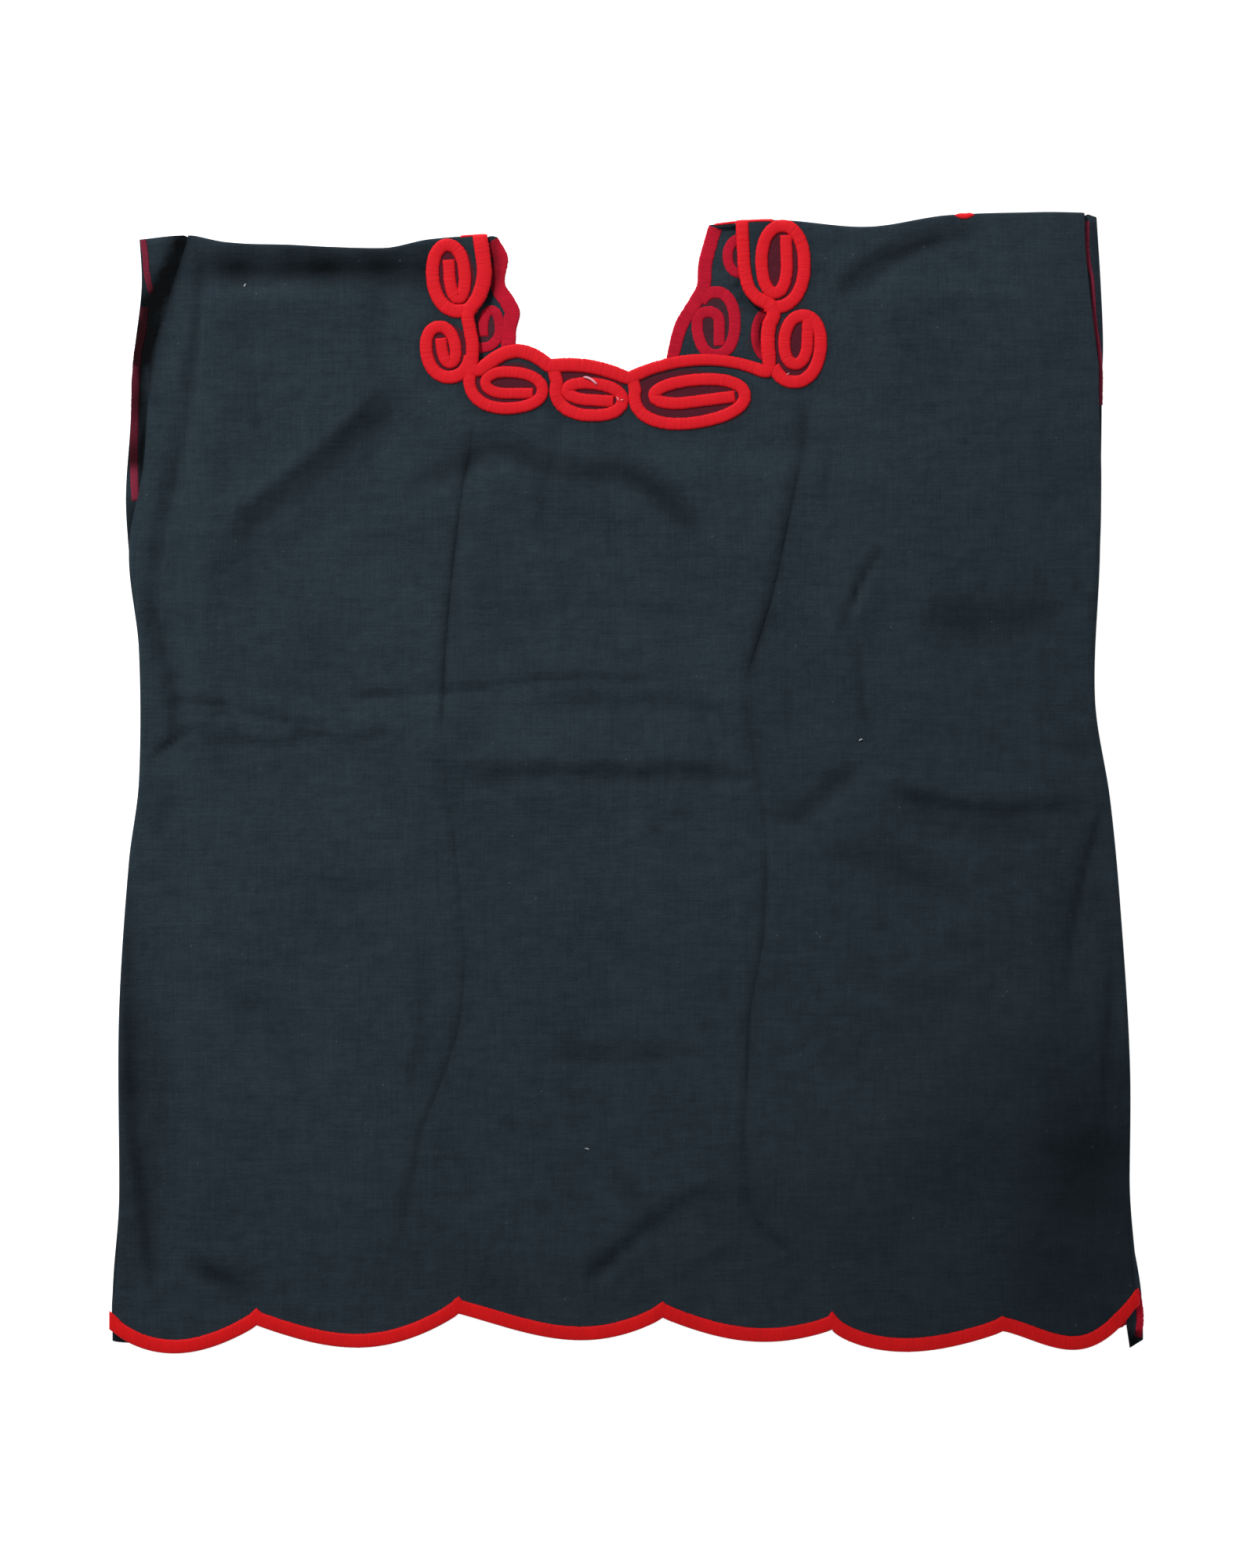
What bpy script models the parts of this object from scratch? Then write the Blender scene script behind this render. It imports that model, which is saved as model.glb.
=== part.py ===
"""Embroidered cotton top, laid out flat.

One length of cloth is folded over the shoulders and sewn up both sides. The back lies on
the surface and the front lies on the back. Scrolls of satin stitch stand round the neck,
and a satin-stitched band follows the scalloped hem.
X runs to the right, Y to the neck, Z up; the origin is the middle of the underside.
"""

import math
from collections import namedtuple

import bmesh
import bpy
from mathutils import Vector

MM = 0.001

# Driving sizes of the cloth, in millimetres
CLOTH = 1.4
LAYER_GAP = 1.2
SEAT = 0.3

# Driving sizes of the embroidery, in millimetres
LINE_HEIGHT = 1.6
WRONG_SIDE_HEIGHT = 0.6
BAND_WIDTH = 7.8
NECK_LINE_WIDTH = 7.4
BACK_LINE_WIDTH = 6.4

BACK_TOP = CLOTH
FRONT_UNDER = CLOTH + LAYER_GAP
FRONT_TOP = FRONT_UNDER + CLOTH
FOLD_RADIUS = FRONT_TOP / 2
FOLD_HOLLOW = LAYER_GAP / 2

# Columns of the cloth grid: ten each for the left side, the neck and the right side
BLOCK = 10
COLUMNS = 3 * BLOCK
BAY_COLUMNS = (3, 3, 4)
FRONT_HEM_COLUMNS = (5, 5, 5, 5, 5, 5)
BACK_HEM_COLUMNS = (5, 5, 5, 5, 5, 3, 1, 1)

# Rows of the upper part as shares from the shoulder fold down to the neck level
UPPER_ROWS = (0.0, 0.04, 0.25, 0.5, 0.75)

# Rows of the lower part as shares from the neck level down to the hem
LOWER_ROWS = (0.0, 0.04, 0.08, 0.125, 0.17, 0.215, 0.265, 0.32, 0.365, 0.395, 0.42, 0.445,
              0.48, 0.53, 0.585, 0.64, 0.695, 0.75, 0.805, 0.86, 0.91, 0.965, 1.0)
NECK_ROW = len(UPPER_ROWS)
HEM_ROW = NECK_ROW + len(LOWER_ROWS) - 1
ARMHOLE_ROW = NECK_ROW + 4
VENT_ROW = HEM_ROW - 1

# Shares of the lower part over which the columns turn to the neck level and to the hem
LEVEL_BLEND = 0.13
HEM_BLEND = 0.14

# Columns of the hem between which the back's band is stitched
BACK_BAND_START = 1
BACK_BAND_END = 28

EdgePoint = namedtuple("EdgePoint", "y x")
ShoulderPoint = namedtuple("ShoulderPoint", "x y")
Scallop = namedtuple("Scallop", "x y drop low_at")
Fold = namedtuple("Fold", "x0 y0 x1 y1 half_width rise")
Fade = namedtuple("Fade", "start length")
Scroll = namedtuple("Scroll", "name upright axis cross reach skip run tilt wide narrow")

# Side edges from the hem up to the foot of the armhole
LEFT_SIDE = (
    EdgePoint(-345, -310.0), EdgePoint(-325, -309.5), EdgePoint(-260, -306.0),
    EdgePoint(-142, -306.0), EdgePoint(-48, -300.0), EdgePoint(0, -294.0),
    EdgePoint(79, -294.0), EdgePoint(138, -300.0))
RIGHT_SIDE = (
    EdgePoint(-345, 306.0), EdgePoint(-314, 305.0), EdgePoint(-270, 301.0),
    EdgePoint(-170, 301.0), EdgePoint(-72, 295.0), EdgePoint(-10, 289.0),
    EdgePoint(50, 280.0), EdgePoint(138, 283.0))

# Armhole edges, front and back, on from the side edges
FRONT_LEFT_ARM = (
    EdgePoint(187, -291.5), EdgePoint(234, -290.0), EdgePoint(259, -285.5),
    EdgePoint(285, -277.5), EdgePoint(304, -271.5), EdgePoint(327, -264.0))
FRONT_RIGHT_ARM = (
    EdgePoint(234, 283.2), EdgePoint(262, 280.4), EdgePoint(281, 278.0),
    EdgePoint(297, 276.2), EdgePoint(320, 274.0), EdgePoint(340, 273.5))
BACK_LEFT_ARM = (
    EdgePoint(168, -302.0), EdgePoint(210, -301.0), EdgePoint(257, -297.0),
    EdgePoint(297, -292.5), EdgePoint(330, -294.0))
BACK_RIGHT_ARM = (
    EdgePoint(234, 284.0), EdgePoint(262, 285.0), EdgePoint(300, 283.5),
    EdgePoint(340, 281.0))

# Neck edges beside the opening, from the neck level up to the shoulder fold
FRONT_NECK_LEFT = (
    EdgePoint(250, -90.5), EdgePoint(262, -90.0), EdgePoint(273, -91.8),
    EdgePoint(280, -92.6), EdgePoint(288, -86.8), EdgePoint(297, -83.4),
    EdgePoint(307, -82.4), EdgePoint(327, -85.0))
FRONT_NECK_RIGHT = (
    EdgePoint(249, 81.0), EdgePoint(264, 79.6), EdgePoint(275, 80.6),
    EdgePoint(282, 82.8), EdgePoint(287, 75.0), EdgePoint(294, 69.4),
    EdgePoint(305, 66.4), EdgePoint(318, 65.4), EdgePoint(336, 64.6))
BACK_NECK_LEFT = (
    EdgePoint(240, -73.0), EdgePoint(261, -68.3), EdgePoint(271, -67.7),
    EdgePoint(282, -65.5), EdgePoint(291, -69.5), EdgePoint(299, -74.5),
    EdgePoint(315, -72.8), EdgePoint(327, -79.0))
BACK_NECK_RIGHT = (
    EdgePoint(240, 20.0), EdgePoint(257, 23.5), EdgePoint(275, 28.2),
    EdgePoint(291, 37.5), EdgePoint(298, 41.2), EdgePoint(312, 42.3),
    EdgePoint(336, 49.0))

# Shoulder fold lines
LEFT_SHOULDER = (
    ShoulderPoint(-294, 325.5), ShoulderPoint(-265, 328.0), ShoulderPoint(-240, 324.0),
    ShoulderPoint(-200, 322.5), ShoulderPoint(-146, 320.5), ShoulderPoint(-120, 325.5),
    ShoulderPoint(-84, 328.0), ShoulderPoint(-79, 327.0))
RIGHT_SHOULDER = (
    ShoulderPoint(48, 334.0), ShoulderPoint(63, 336.0), ShoulderPoint(93, 337.0),
    ShoulderPoint(143, 333.0), ShoulderPoint(190, 340.0), ShoulderPoint(230, 341.5),
    ShoulderPoint(272, 341.5), ShoulderPoint(281, 339.0))

# Place beyond every edge table, where each is read off its last row
PAST_THE_FOLD = 400.0

# Hem scallops: where each starts, how far it drops and where it is lowest
FRONT_HEM = (
    Scallop(-310.0, -328.5, 15.5, 0.45), Scallop(-223.0, -326.0, 17.0, 0.54),
    Scallop(-102.0, -319.0, 14.5, 0.58), Scallop(20.5, -321.5, 10.5, 0.52),
    Scallop(122.0, -328.5, 13.0, 0.42), Scallop(224.5, -329.5, 20.0, 0.60),
    Scallop(305.0, -314.0, 0.0, 0.50))
BACK_HEM = (
    Scallop(-310.0, -335.5, 5.0, 0.42), Scallop(-223.0, -322.0, 14.0, 0.54),
    Scallop(-102.0, -315.0, 12.0, 0.58), Scallop(20.5, -317.5, 9.0, 0.52),
    Scallop(122.0, -324.5, 11.0, 0.42), Scallop(224.5, -325.5, 10.0, 0.50),
    Scallop(299.0, -326.0, 0.0, 0.50), Scallop(301.0, -340.0, 0.0, 0.50),
    Scallop(309.0, -335.0, 0.0, 0.50))
SCALLOP_ROUNDNESS = 0.85

# Bays of the neck level, rising towards the opening
FRONT_BAYS = (
    Scallop(-90.5, 250.0, -10.5, 0.50), Scallop(-46.5, 253.0, -3.5, 0.50),
    Scallop(0.0, 245.5, -8.5, 0.50), Scallop(81.0, 249.5, 0.0, 0.50))
BACK_BAYS = (
    Scallop(-73.0, 240.0, 4.0, 0.50), Scallop(-42.0, 237.0, 2.0, 0.50),
    Scallop(-12.0, 237.0, 2.0, 0.50), Scallop(20.0, 240.0, 0.0, 0.50))

# Lines that the columns beside the neck follow down the cloth, the two storage creases
LEFT_CREASE = (
    EdgePoint(-345, -102.0), EdgePoint(-318, -102.0), EdgePoint(-247, -122.0),
    EdgePoint(-170, -108.0), EdgePoint(-98, -98.0), EdgePoint(23, -112.0),
    EdgePoint(128, -105.0), EdgePoint(219, -91.0), EdgePoint(250, -90.5))
RIGHT_CREASE = (
    EdgePoint(-345, 122.0), EdgePoint(-328, 122.0), EdgePoint(-275, 98.0),
    EdgePoint(-229, 78.0), EdgePoint(-97, 76.0), EdgePoint(-1, 83.0),
    EdgePoint(55, 70.0), EdgePoint(151, 95.0), EdgePoint(229, 98.0),
    EdgePoint(249, 81.0))
BACK_LEFT_LINE = (EdgePoint(-345, -102.0), EdgePoint(-318, -102.0), EdgePoint(240, -73.0))
BACK_RIGHT_LINE = (EdgePoint(-345, 122.0), EdgePoint(-328, 122.0), EdgePoint(240, 20.0))

# Largest folds of the front: the two ends of each crest, its half width and its rise
FOLDS = (
    Fold(-92, 190, -112, 20, 20, 2.0), Fold(-98, -85, -130, -270, 20, 2.0),
    Fold(98, 190, 70, 50, 20, 2.0), Fold(82, -5, 68, -235, 20, 1.8),
    Fold(-108, 6, 76, 6, 20, 2.4), Fold(-243, 285, -266, 40, 20, 3.0),
    Fold(-236, 288, -160, 290, 18, 2.6), Fold(-142, 160, -50, 184, 20, 2.0),
    Fold(-50, 184, 46, 140, 20, 2.0), Fold(-165, 205, -241, 145, 18, 2.4),
    Fold(-270, 24, -114, 34, 16, 1.8), Fold(149, -8, 268, -24, 18, 2.0),
    Fold(158, 142, 128, 90, 16, 1.6), Fold(190, 312, 160, 290, 18, 2.2),
    Fold(262, -45, 250, -140, 18, 2.0), Fold(-25, -284, 46, -246, 16, 1.8))
BILLOW = 1.5

# Where the front is flat: towards the hem, the shoulders, the sides and round the neck
ABOVE_HEM = Fade(-318.0, 40.0)
BELOW_SHOULDER = Fade(308.0, 20.0)
FROM_LEFT_SIDE = Fade(-280.0, 30.0)
FROM_RIGHT_SIDE = Fade(270.0, 30.0)
BESIDE_NECK = Fade(142.0, 20.0)
BELOW_NECK = Fade(202.0, 20.0)
NECK_MIDDLE = -2.0

# Scrolls of the front, each a run of half ovals that close in on a straight end
FRONT_SCROLLS = (
    Scroll("scroll_1", True, 303.0, (-86.0, -118.4, -98.4, -108.8),
           (-21.5, 19.0, -11.0), 0.60, 9.0, 0.0, 7.6, 6.0),
    Scroll("scroll_2", True, 258.0, (-94.5, -122.4, -102.4, -113.6),
           (-16.5, 13.4, -8.0), 0.60, 6.0, 0.0, 6.2, 5.4),
    Scroll("scroll_3", False, -71.0, (248.0, 223.7, 245.0, 233.0),
           (-24.0, 21.0, -14.5), 0.52, 13.0, 0.0, 7.4, 6.0),
    Scroll("scroll_4", False, -23.0, (246.0, 218.4, 239.2, 228.8),
           (-20.4, 21.4, -13.4), 0.52, 14.0, -3.0, 7.0, 6.0),
    Scroll("scroll_5", False, 38.0, (246.0, 213.8, 241.4, 228.4),
           (-31.0, 31.0, -20.0), 0.52, 22.0, 9.0, 7.6, 6.4),
    Scroll("scroll_6", True, 259.4, (83.5, 116.0, 92.2, 107.6),
           (-20.0, 19.6, -10.0), 0.36, 13.0, 0.0, 7.2, 6.0),
    Scroll("scroll_7", True, 308.8, (69.5, 105.0, 79.0, 94.0),
           (-22.5, 19.5, -10.0), 0.70, 14.0, 0.0, 7.4, 6.2))

# Scrolls of the back seen from their wrong side through the neck
BACK_SCROLLS = (
    Scroll("back_scroll_1", True, 272.0, (-100.0, -78.4, -87.4),
           (-11.5, 10.5), 0.20, 4.5, 0.0, 5.0, 5.0),
    Scroll("back_scroll_2", True, 275.0, (41.0, 64.2, 42.6, 55.0),
           (18.0, -17.0, 7.0), 0.45, 12.0, 0.0, 5.6, 5.0),
    Scroll("back_scroll_3", True, 314.0, (84.0, 59.6, 76.0),
           (12.0, -11.0), 0.10, 4.0, 0.0, 5.6, 5.0),
    Scroll("back_scroll_4", True, 267.5, (99.0, 76.6, 92.0),
           (14.0, -12.0), 0.10, 4.0, 0.0, 5.6, 5.0))
OVAL_POWER = 0.92
STEPS_PER_HALF_OVAL = 9

# Section of a line: share of its width and of its height
LINE_SECTION = ((0.0, 0.0), (0.14, 0.75), (0.5, 1.0), (0.86, 0.75), (1.0, 0.0))

# Steps of the neck lines beside the neck and in each bay, and how far corners are rounded
NECK_SIDE_STEPS = 9
BAY_STEPS = 4
BAY_INSET = 1 / 6
CORNER_INSET = 2.0

# Finishes: colour of each
COTTON = (0.021, 0.031, 0.038)
SATIN = (0.72, 0.012, 0.018)
HEM_THREAD = (0.52, 0.008, 0.009)
WRONG_SIDE = (0.36, 0.012, 0.030)


def smooth_step(value):
    """Rise softly from 0 to 1 as the value goes from 0 to 1."""
    share = min(max(value, 0.0), 1.0)
    return share * share * (3.0 - 2.0 * share)


def read_table(points, at):
    """Read the second column of an edge table at a value of its first, on a smooth curve."""
    if at <= points[0][0]:
        return points[0][1]
    if at >= points[-1][0]:
        return points[-1][1]
    index = max(k for k in range(len(points) - 1) if points[k][0] <= at)
    at_1, value_1 = points[index]
    at_2, value_2 = points[index + 1]
    at_0, value_0 = points[max(index - 1, 0)]
    at_3, value_3 = points[min(index + 2, len(points) - 1)]
    span = at_2 - at_1
    share = (at - at_1) / span
    slope_1 = (value_2 - value_0) / (at_2 - at_0) * span
    slope_2 = (value_3 - value_1) / (at_3 - at_1) * span
    square = share * share
    cube = square * share
    return (value_1 * (2 * cube - 3 * square + 1) + slope_1 * (cube - 2 * square + share)
            + value_2 * (3 * square - 2 * cube) + slope_2 * (cube - square))


def read_scallops(scallops, at):
    """Height of a scalloped edge at an x."""
    last = len(scallops) - 2
    index = max([k for k in range(last + 1) if scallops[k].x <= at] or [0])
    here, after = scallops[index], scallops[index + 1]
    share = min(max((at - here.x) / (after.x - here.x), 0.0), 1.0)
    bent = share ** (math.log(0.5) / math.log(here.low_at))
    hollow = math.sin(math.pi * bent) ** SCALLOP_ROUNDNESS
    return here.y + (after.y - here.y) * share - here.drop * hollow


def spread(start, end, steps):
    """Even values from start to end, both counted."""
    return [start + (end - start) * k / steps for k in range(steps + 1)]


def distance_to_fold(x, y, fold):
    """Distance from a point to the crest of a fold."""
    along = Vector((fold.x1 - fold.x0, fold.y1 - fold.y0))
    start = Vector((x - fold.x0, y - fold.y0))
    share = min(max(start.dot(along) / along.length_squared, 0.0), 1.0)
    return (start - along * share).length


def rise_after(fade, at):
    """Rise softly from 0 to 1 over the length of a fade, upwards from its start."""
    return smooth_step((at - fade.start) / fade.length)


def rise_before(fade, at):
    """Rise softly from 0 to 1 over the length of a fade, downwards from its start."""
    return smooth_step((fade.start - at) / fade.length)


def front_rise(x, y):
    """Height of the front above its flat rest: a soft billow and the largest folds."""
    folds = sum(f.rise * math.exp(-(distance_to_fold(x, y, f) / f.half_width) ** 2) for f in FOLDS)
    ends = rise_after(ABOVE_HEM, y) * rise_before(BELOW_SHOULDER, y)
    sides = rise_after(FROM_LEFT_SIDE, x) * rise_before(FROM_RIGHT_SIDE, x)
    clear_of_neck = max(rise_after(BESIDE_NECK, abs(x - NECK_MIDDLE)),
                        rise_before(BELOW_NECK, y))
    return (BILLOW + folds) * ends * sides * clear_of_neck


def column_x(side_left, line_left, line_right, side_right, column, y):
    """Place of a column at a height, between the side edges and the two inner lines."""
    lines = (side_left, line_left, line_right, side_right)
    block = min(column // BLOCK, 2)
    left = read_table(lines[block], y)
    right = read_table(lines[block + 1], y)
    return left + (right - left) * (column - block * BLOCK) / BLOCK


def scallop_x(scallops, counts, step):
    """Place along a scalloped edge after a number of columns, so many to each scallop."""
    for here, after, count in zip(scallops, scallops[1:], counts):
        if step <= count:
            return here.x + (after.x - here.x) * step / count
        step -= count
    return scallops[-1].x


def hem_place(front, column):
    """Place of a column on the hem."""
    hem = FRONT_HEM if front else BACK_HEM
    x = scallop_x(hem, FRONT_HEM_COLUMNS if front else BACK_HEM_COLUMNS, column)
    return x, read_scallops(hem, x)


def layer_points(front):
    """Plan positions of one layer by column and row, from the shoulder fold to the hem."""
    left = LEFT_SIDE + (FRONT_LEFT_ARM if front else BACK_LEFT_ARM)
    right = RIGHT_SIDE + (FRONT_RIGHT_ARM if front else BACK_RIGHT_ARM)
    neck_left = FRONT_NECK_LEFT if front else BACK_NECK_LEFT
    neck_right = FRONT_NECK_RIGHT if front else BACK_NECK_RIGHT
    line_left = LEFT_CREASE if front else BACK_LEFT_LINE
    line_right = RIGHT_CREASE if front else BACK_RIGHT_LINE
    bays = FRONT_BAYS if front else BACK_BAYS
    points = {}
    for column in range(COLUMNS + 1):
        middle = BLOCK <= column <= 2 * BLOCK
        if middle:
            level_x = scallop_x(bays, BAY_COLUMNS, column - BLOCK)
            level_y = read_scallops(bays, level_x)
        else:
            level_y = bays[0].y if column < BLOCK else bays[-1].y
            level_x = column_x(left, neck_left, neck_right, right, column, level_y)
        low_x, low_y = hem_place(front, column)
        for row, share in enumerate(LOWER_ROWS):
            y = level_y + (low_y - level_y) * share
            x = column_x(left, line_left, line_right, right, column, y)
            to_level = 1.0 - smooth_step(share / LEVEL_BLEND)
            to_hem = smooth_step((share - 1.0) / HEM_BLEND + 1.0)
            x += (level_x - x) * to_level
            x += (low_x - x) * to_hem
            points[column, NECK_ROW + row] = (x, y)
        if BLOCK < column < 2 * BLOCK:
            continue
        shoulder = LEFT_SHOULDER if column <= BLOCK else RIGHT_SHOULDER
        for row, share in enumerate(UPPER_ROWS):
            fold_row = row == 0
            sides = (left, neck_left, neck_right, right)
            if fold_row:
                sides = (LEFT_SIDE + FRONT_LEFT_ARM, FRONT_NECK_LEFT,
                         FRONT_NECK_RIGHT, RIGHT_SIDE + FRONT_RIGHT_ARM)
            top_x = column_x(*sides, column, PAST_THE_FOLD)
            top_y = read_table(shoulder, top_x) - FOLD_RADIUS
            y = top_y + (level_y - top_y) * share
            points[column, row] = (top_x if fold_row else column_x(*sides, column, y), y)
    return points


def wall_mesh(name, outer, inner, quads):
    """Closed wall from matched outer and inner points, with its open edges closed over."""
    count = len(outer)
    faces = [tuple(quad) for quad in quads]
    faces += [tuple(count + corner for corner in reversed(quad)) for quad in quads]
    used = {(quad[k], quad[(k + 1) % len(quad)]) for quad in quads for k in range(len(quad))}
    for start, end in sorted(used):
        if (end, start) not in used:
            faces.append((end, start, count + start, count + end))
    mesh = bpy.data.meshes.new(name)
    mesh.from_pydata([tuple(c * MM for c in p) for p in outer + inner], [], faces)
    mesh.update()
    return mesh


def has_cell(column, row):
    """Tell whether the cloth covers a grid cell, which it doesn't in the neck opening."""
    return row >= NECK_ROW or not BLOCK <= column < 2 * BLOCK


def cloth_body(material):
    """The one length of cloth: front, shoulder folds, back and the two side seams."""
    plan = {"front": layer_points(True), "back": layer_points(False)}
    keys = {}
    outer = []
    inner = []

    def add(key, outside, inside):
        keys[key] = len(outer)
        outer.append(outside)
        inner.append(inside)

    for seam, column, inward in (("left", 0, 1), ("right", COLUMNS, -1)):
        for row in range(ARMHOLE_ROW, VENT_ROW + 1):
            x, y = plan["front"][column, row]
            hollow = x + inward * (FOLD_RADIUS - FOLD_HOLLOW)
            add((seam, row), (x, y, FOLD_RADIUS), (hollow, y, FOLD_RADIUS))
            plan["front"][column, row] = (x + inward * FOLD_RADIUS, y)
            plan["back"][column, row] = (x + inward * FOLD_RADIUS, y)
    for side, places in plan.items():
        for (column, row), (x, y) in sorted(places.items()):
            if side == "front":
                rise = front_rise(x, y)
                add((side, column, row), (x, y, FRONT_TOP + rise), (x, y, FRONT_UNDER + rise))
            else:
                add((side, column, row), (x, y, 0.0), (x, y, BACK_TOP))
    for column in range(COLUMNS + 1):
        if BLOCK < column < 2 * BLOCK:
            continue
        x, y = plan["front"][column, 0]
        add(("fold", column), (x, y + FOLD_RADIUS, FOLD_RADIUS),
            (x, y + FOLD_HOLLOW, FOLD_RADIUS))

    quads = []
    for column in range(COLUMNS):
        for row in range(HEM_ROW):
            if not has_cell(column, row):
                continue
            corners = ((column, row), (column, row + 1), (column + 1, row + 1), (column + 1, row))
            quads.append([keys[("front",) + corner] for corner in corners])
            quads.append([keys[("back",) + corner] for corner in reversed(corners)])
        if has_cell(column, 0):
            front = [keys["front", column, 0], keys["front", column + 1, 0]]
            fold = [keys["fold", column], keys["fold", column + 1]]
            back = [keys["back", column, 0], keys["back", column + 1, 0]]
            quads.append(front + fold[::-1])
            quads.append(fold + back[::-1])
    for row in range(ARMHOLE_ROW, VENT_ROW):
        for seam, column in (("left", 0), ("right", COLUMNS)):
            front = [keys["front", column, row + 1], keys["front", column, row]]
            edge = [keys[seam, row + 1], keys[seam, row]]
            back = [keys["back", column, row + 1], keys["back", column, row]]
            strips = [front + edge[::-1], edge + back[::-1]]
            quads += strips if seam == "left" else [strip[::-1] for strip in strips]
    mesh = wall_mesh("body_cloth", outer, inner, quads)
    return place("body_cloth", mesh, material)


def raised_line(name, edge_a, edge_b, seat, height, material):
    """Low rounded line of stitching between two edges, flat underneath."""
    rings = []
    for a, b in zip(edge_a, edge_b):
        rings.append([(a[0] + (b[0] - a[0]) * s, a[1] + (b[1] - a[1]) * s, seat + height * h)
                      for s, h in LINE_SECTION])
    size = len(LINE_SECTION)
    points = [tuple(c * MM for c in p) for ring in rings for p in ring]
    faces = [tuple(range(size)), tuple(reversed(range(len(points) - size, len(points))))]
    for k in range(len(rings) - 1):
        for j in range(size):
            after = (j + 1) % size
            low = k * size
            high = low + size
            faces.append((low + j, high + j, high + after, low + after))
    mesh = bpy.data.meshes.new(name)
    mesh.from_pydata(points, [], faces)
    shape = bmesh.new()
    shape.from_mesh(mesh)
    bmesh.ops.recalc_face_normals(shape, faces=shape.faces)
    shape.to_mesh(mesh)
    shape.free()
    return place(name, mesh, material)


def edges_beside(line, widths, left_share=0.5):
    """Two edges beside a line, with a share of the width to its left."""
    edge_a = []
    edge_b = []
    for k, point in enumerate(line):
        before = Vector(line[max(k - 1, 0)])
        after = Vector(line[min(k + 1, len(line) - 1)])
        along = (after - before).normalized()
        across = Vector((-along.y, along.x))
        here = Vector(point)
        edge_a.append(here + across * widths[k] * left_share)
        edge_b.append(here - across * widths[k] * (1.0 - left_share))
    return edge_a, edge_b


def scroll_line(scroll):
    """Centre line of a scroll: half ovals on alternate sides of its axis, then a straight end."""
    line = []
    for index, reach in enumerate(scroll.reach):
        start, end = scroll.cross[index], scroll.cross[index + 1]
        first = scroll.skip if index == 0 else 0.0
        steps = max(3, round(STEPS_PER_HALF_OVAL * (1.0 - first)))
        for share in spread(first, 1.0, steps)[:-1]:
            turn = math.pi * share
            across = (start + end) / 2 + (start - end) / 2 * math.copysign(
                abs(math.cos(turn)) ** OVAL_POWER, math.cos(turn))
            line.append((across, reach * math.sin(turn) ** OVAL_POWER))
    closing = -math.copysign(1.0, scroll.reach[-1])
    line.append((scroll.cross[-1], 0.0))
    line.append((scroll.cross[-1], closing * scroll.run))
    middle = sum(scroll.cross[:2]) / 2
    lean = math.radians(scroll.tilt)
    turned = []
    for across, up in line:
        if scroll.upright:
            turned.append((across, scroll.axis + up))
            continue
        x = up * math.cos(lean) - (across - middle) * math.sin(lean)
        y = up * math.sin(lean) + (across - middle) * math.cos(lean)
        turned.append((scroll.axis + x, middle + y))
    return turned


def neck_edge(front):
    """Edge of the neck from the left shoulder fold round to the right one."""
    left = FRONT_NECK_LEFT if front else BACK_NECK_LEFT
    right = FRONT_NECK_RIGHT if front else BACK_NECK_RIGHT
    bays = FRONT_BAYS if front else BACK_BAYS
    margin = FOLD_RADIUS + SEAT
    top_left = read_table(LEFT_SHOULDER, left[-1].x) - margin
    top_right = read_table(RIGHT_SHOULDER, right[-1].x) - margin
    line = [(read_table(left, y), y)
            for y in spread(top_left, left[0].y + CORNER_INSET, NECK_SIDE_STEPS)]
    for bay, after in zip(bays, bays[1:]):
        inset = (after.x - bay.x) * BAY_INSET
        line += [(x, read_scallops(bays, x))
                 for x in spread(bay.x + inset, after.x - inset, BAY_STEPS)]
    line += [(read_table(right, y), y)
             for y in spread(right[0].y + CORNER_INSET, top_right, NECK_SIDE_STEPS)]
    return line


def hem_band(name, front, columns, seat, height, material):
    """Band of satin stitch along a scalloped hem."""
    edge_a = [hem_place(front, column) for column in columns]
    edge_b = [(x, y + BAND_WIDTH) for x, y in edge_a]
    return raised_line(name, edge_a, edge_b, seat, height, material)


def place(name, mesh, material):
    """Add a mesh to the garment's collection under its own name."""
    mesh.materials.append(material)
    thing = bpy.data.objects.new(name, mesh)
    bpy.data.collections["embroidered_top"].objects.link(thing)
    return thing


def finish(name, colour, roughness):
    """Matt or satin thread and cloth finish."""
    material = bpy.data.materials.new(name)
    material.use_nodes = True
    shader = material.node_tree.nodes["Principled BSDF"]
    shader.inputs["Base Color"].default_value = (*colour, 1.0)
    shader.inputs["Roughness"].default_value = roughness
    shader.inputs["Metallic"].default_value = 0.0
    material.diffuse_color = (*colour, 1.0)
    return material


def clear_scene():
    """Remove what the scene holds and make the garment's collection."""
    for thing in list(bpy.data.objects):
        bpy.data.objects.remove(thing, do_unlink=True)
    collection = bpy.data.collections.new("embroidered_top")
    bpy.context.scene.collection.children.link(collection)


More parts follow.
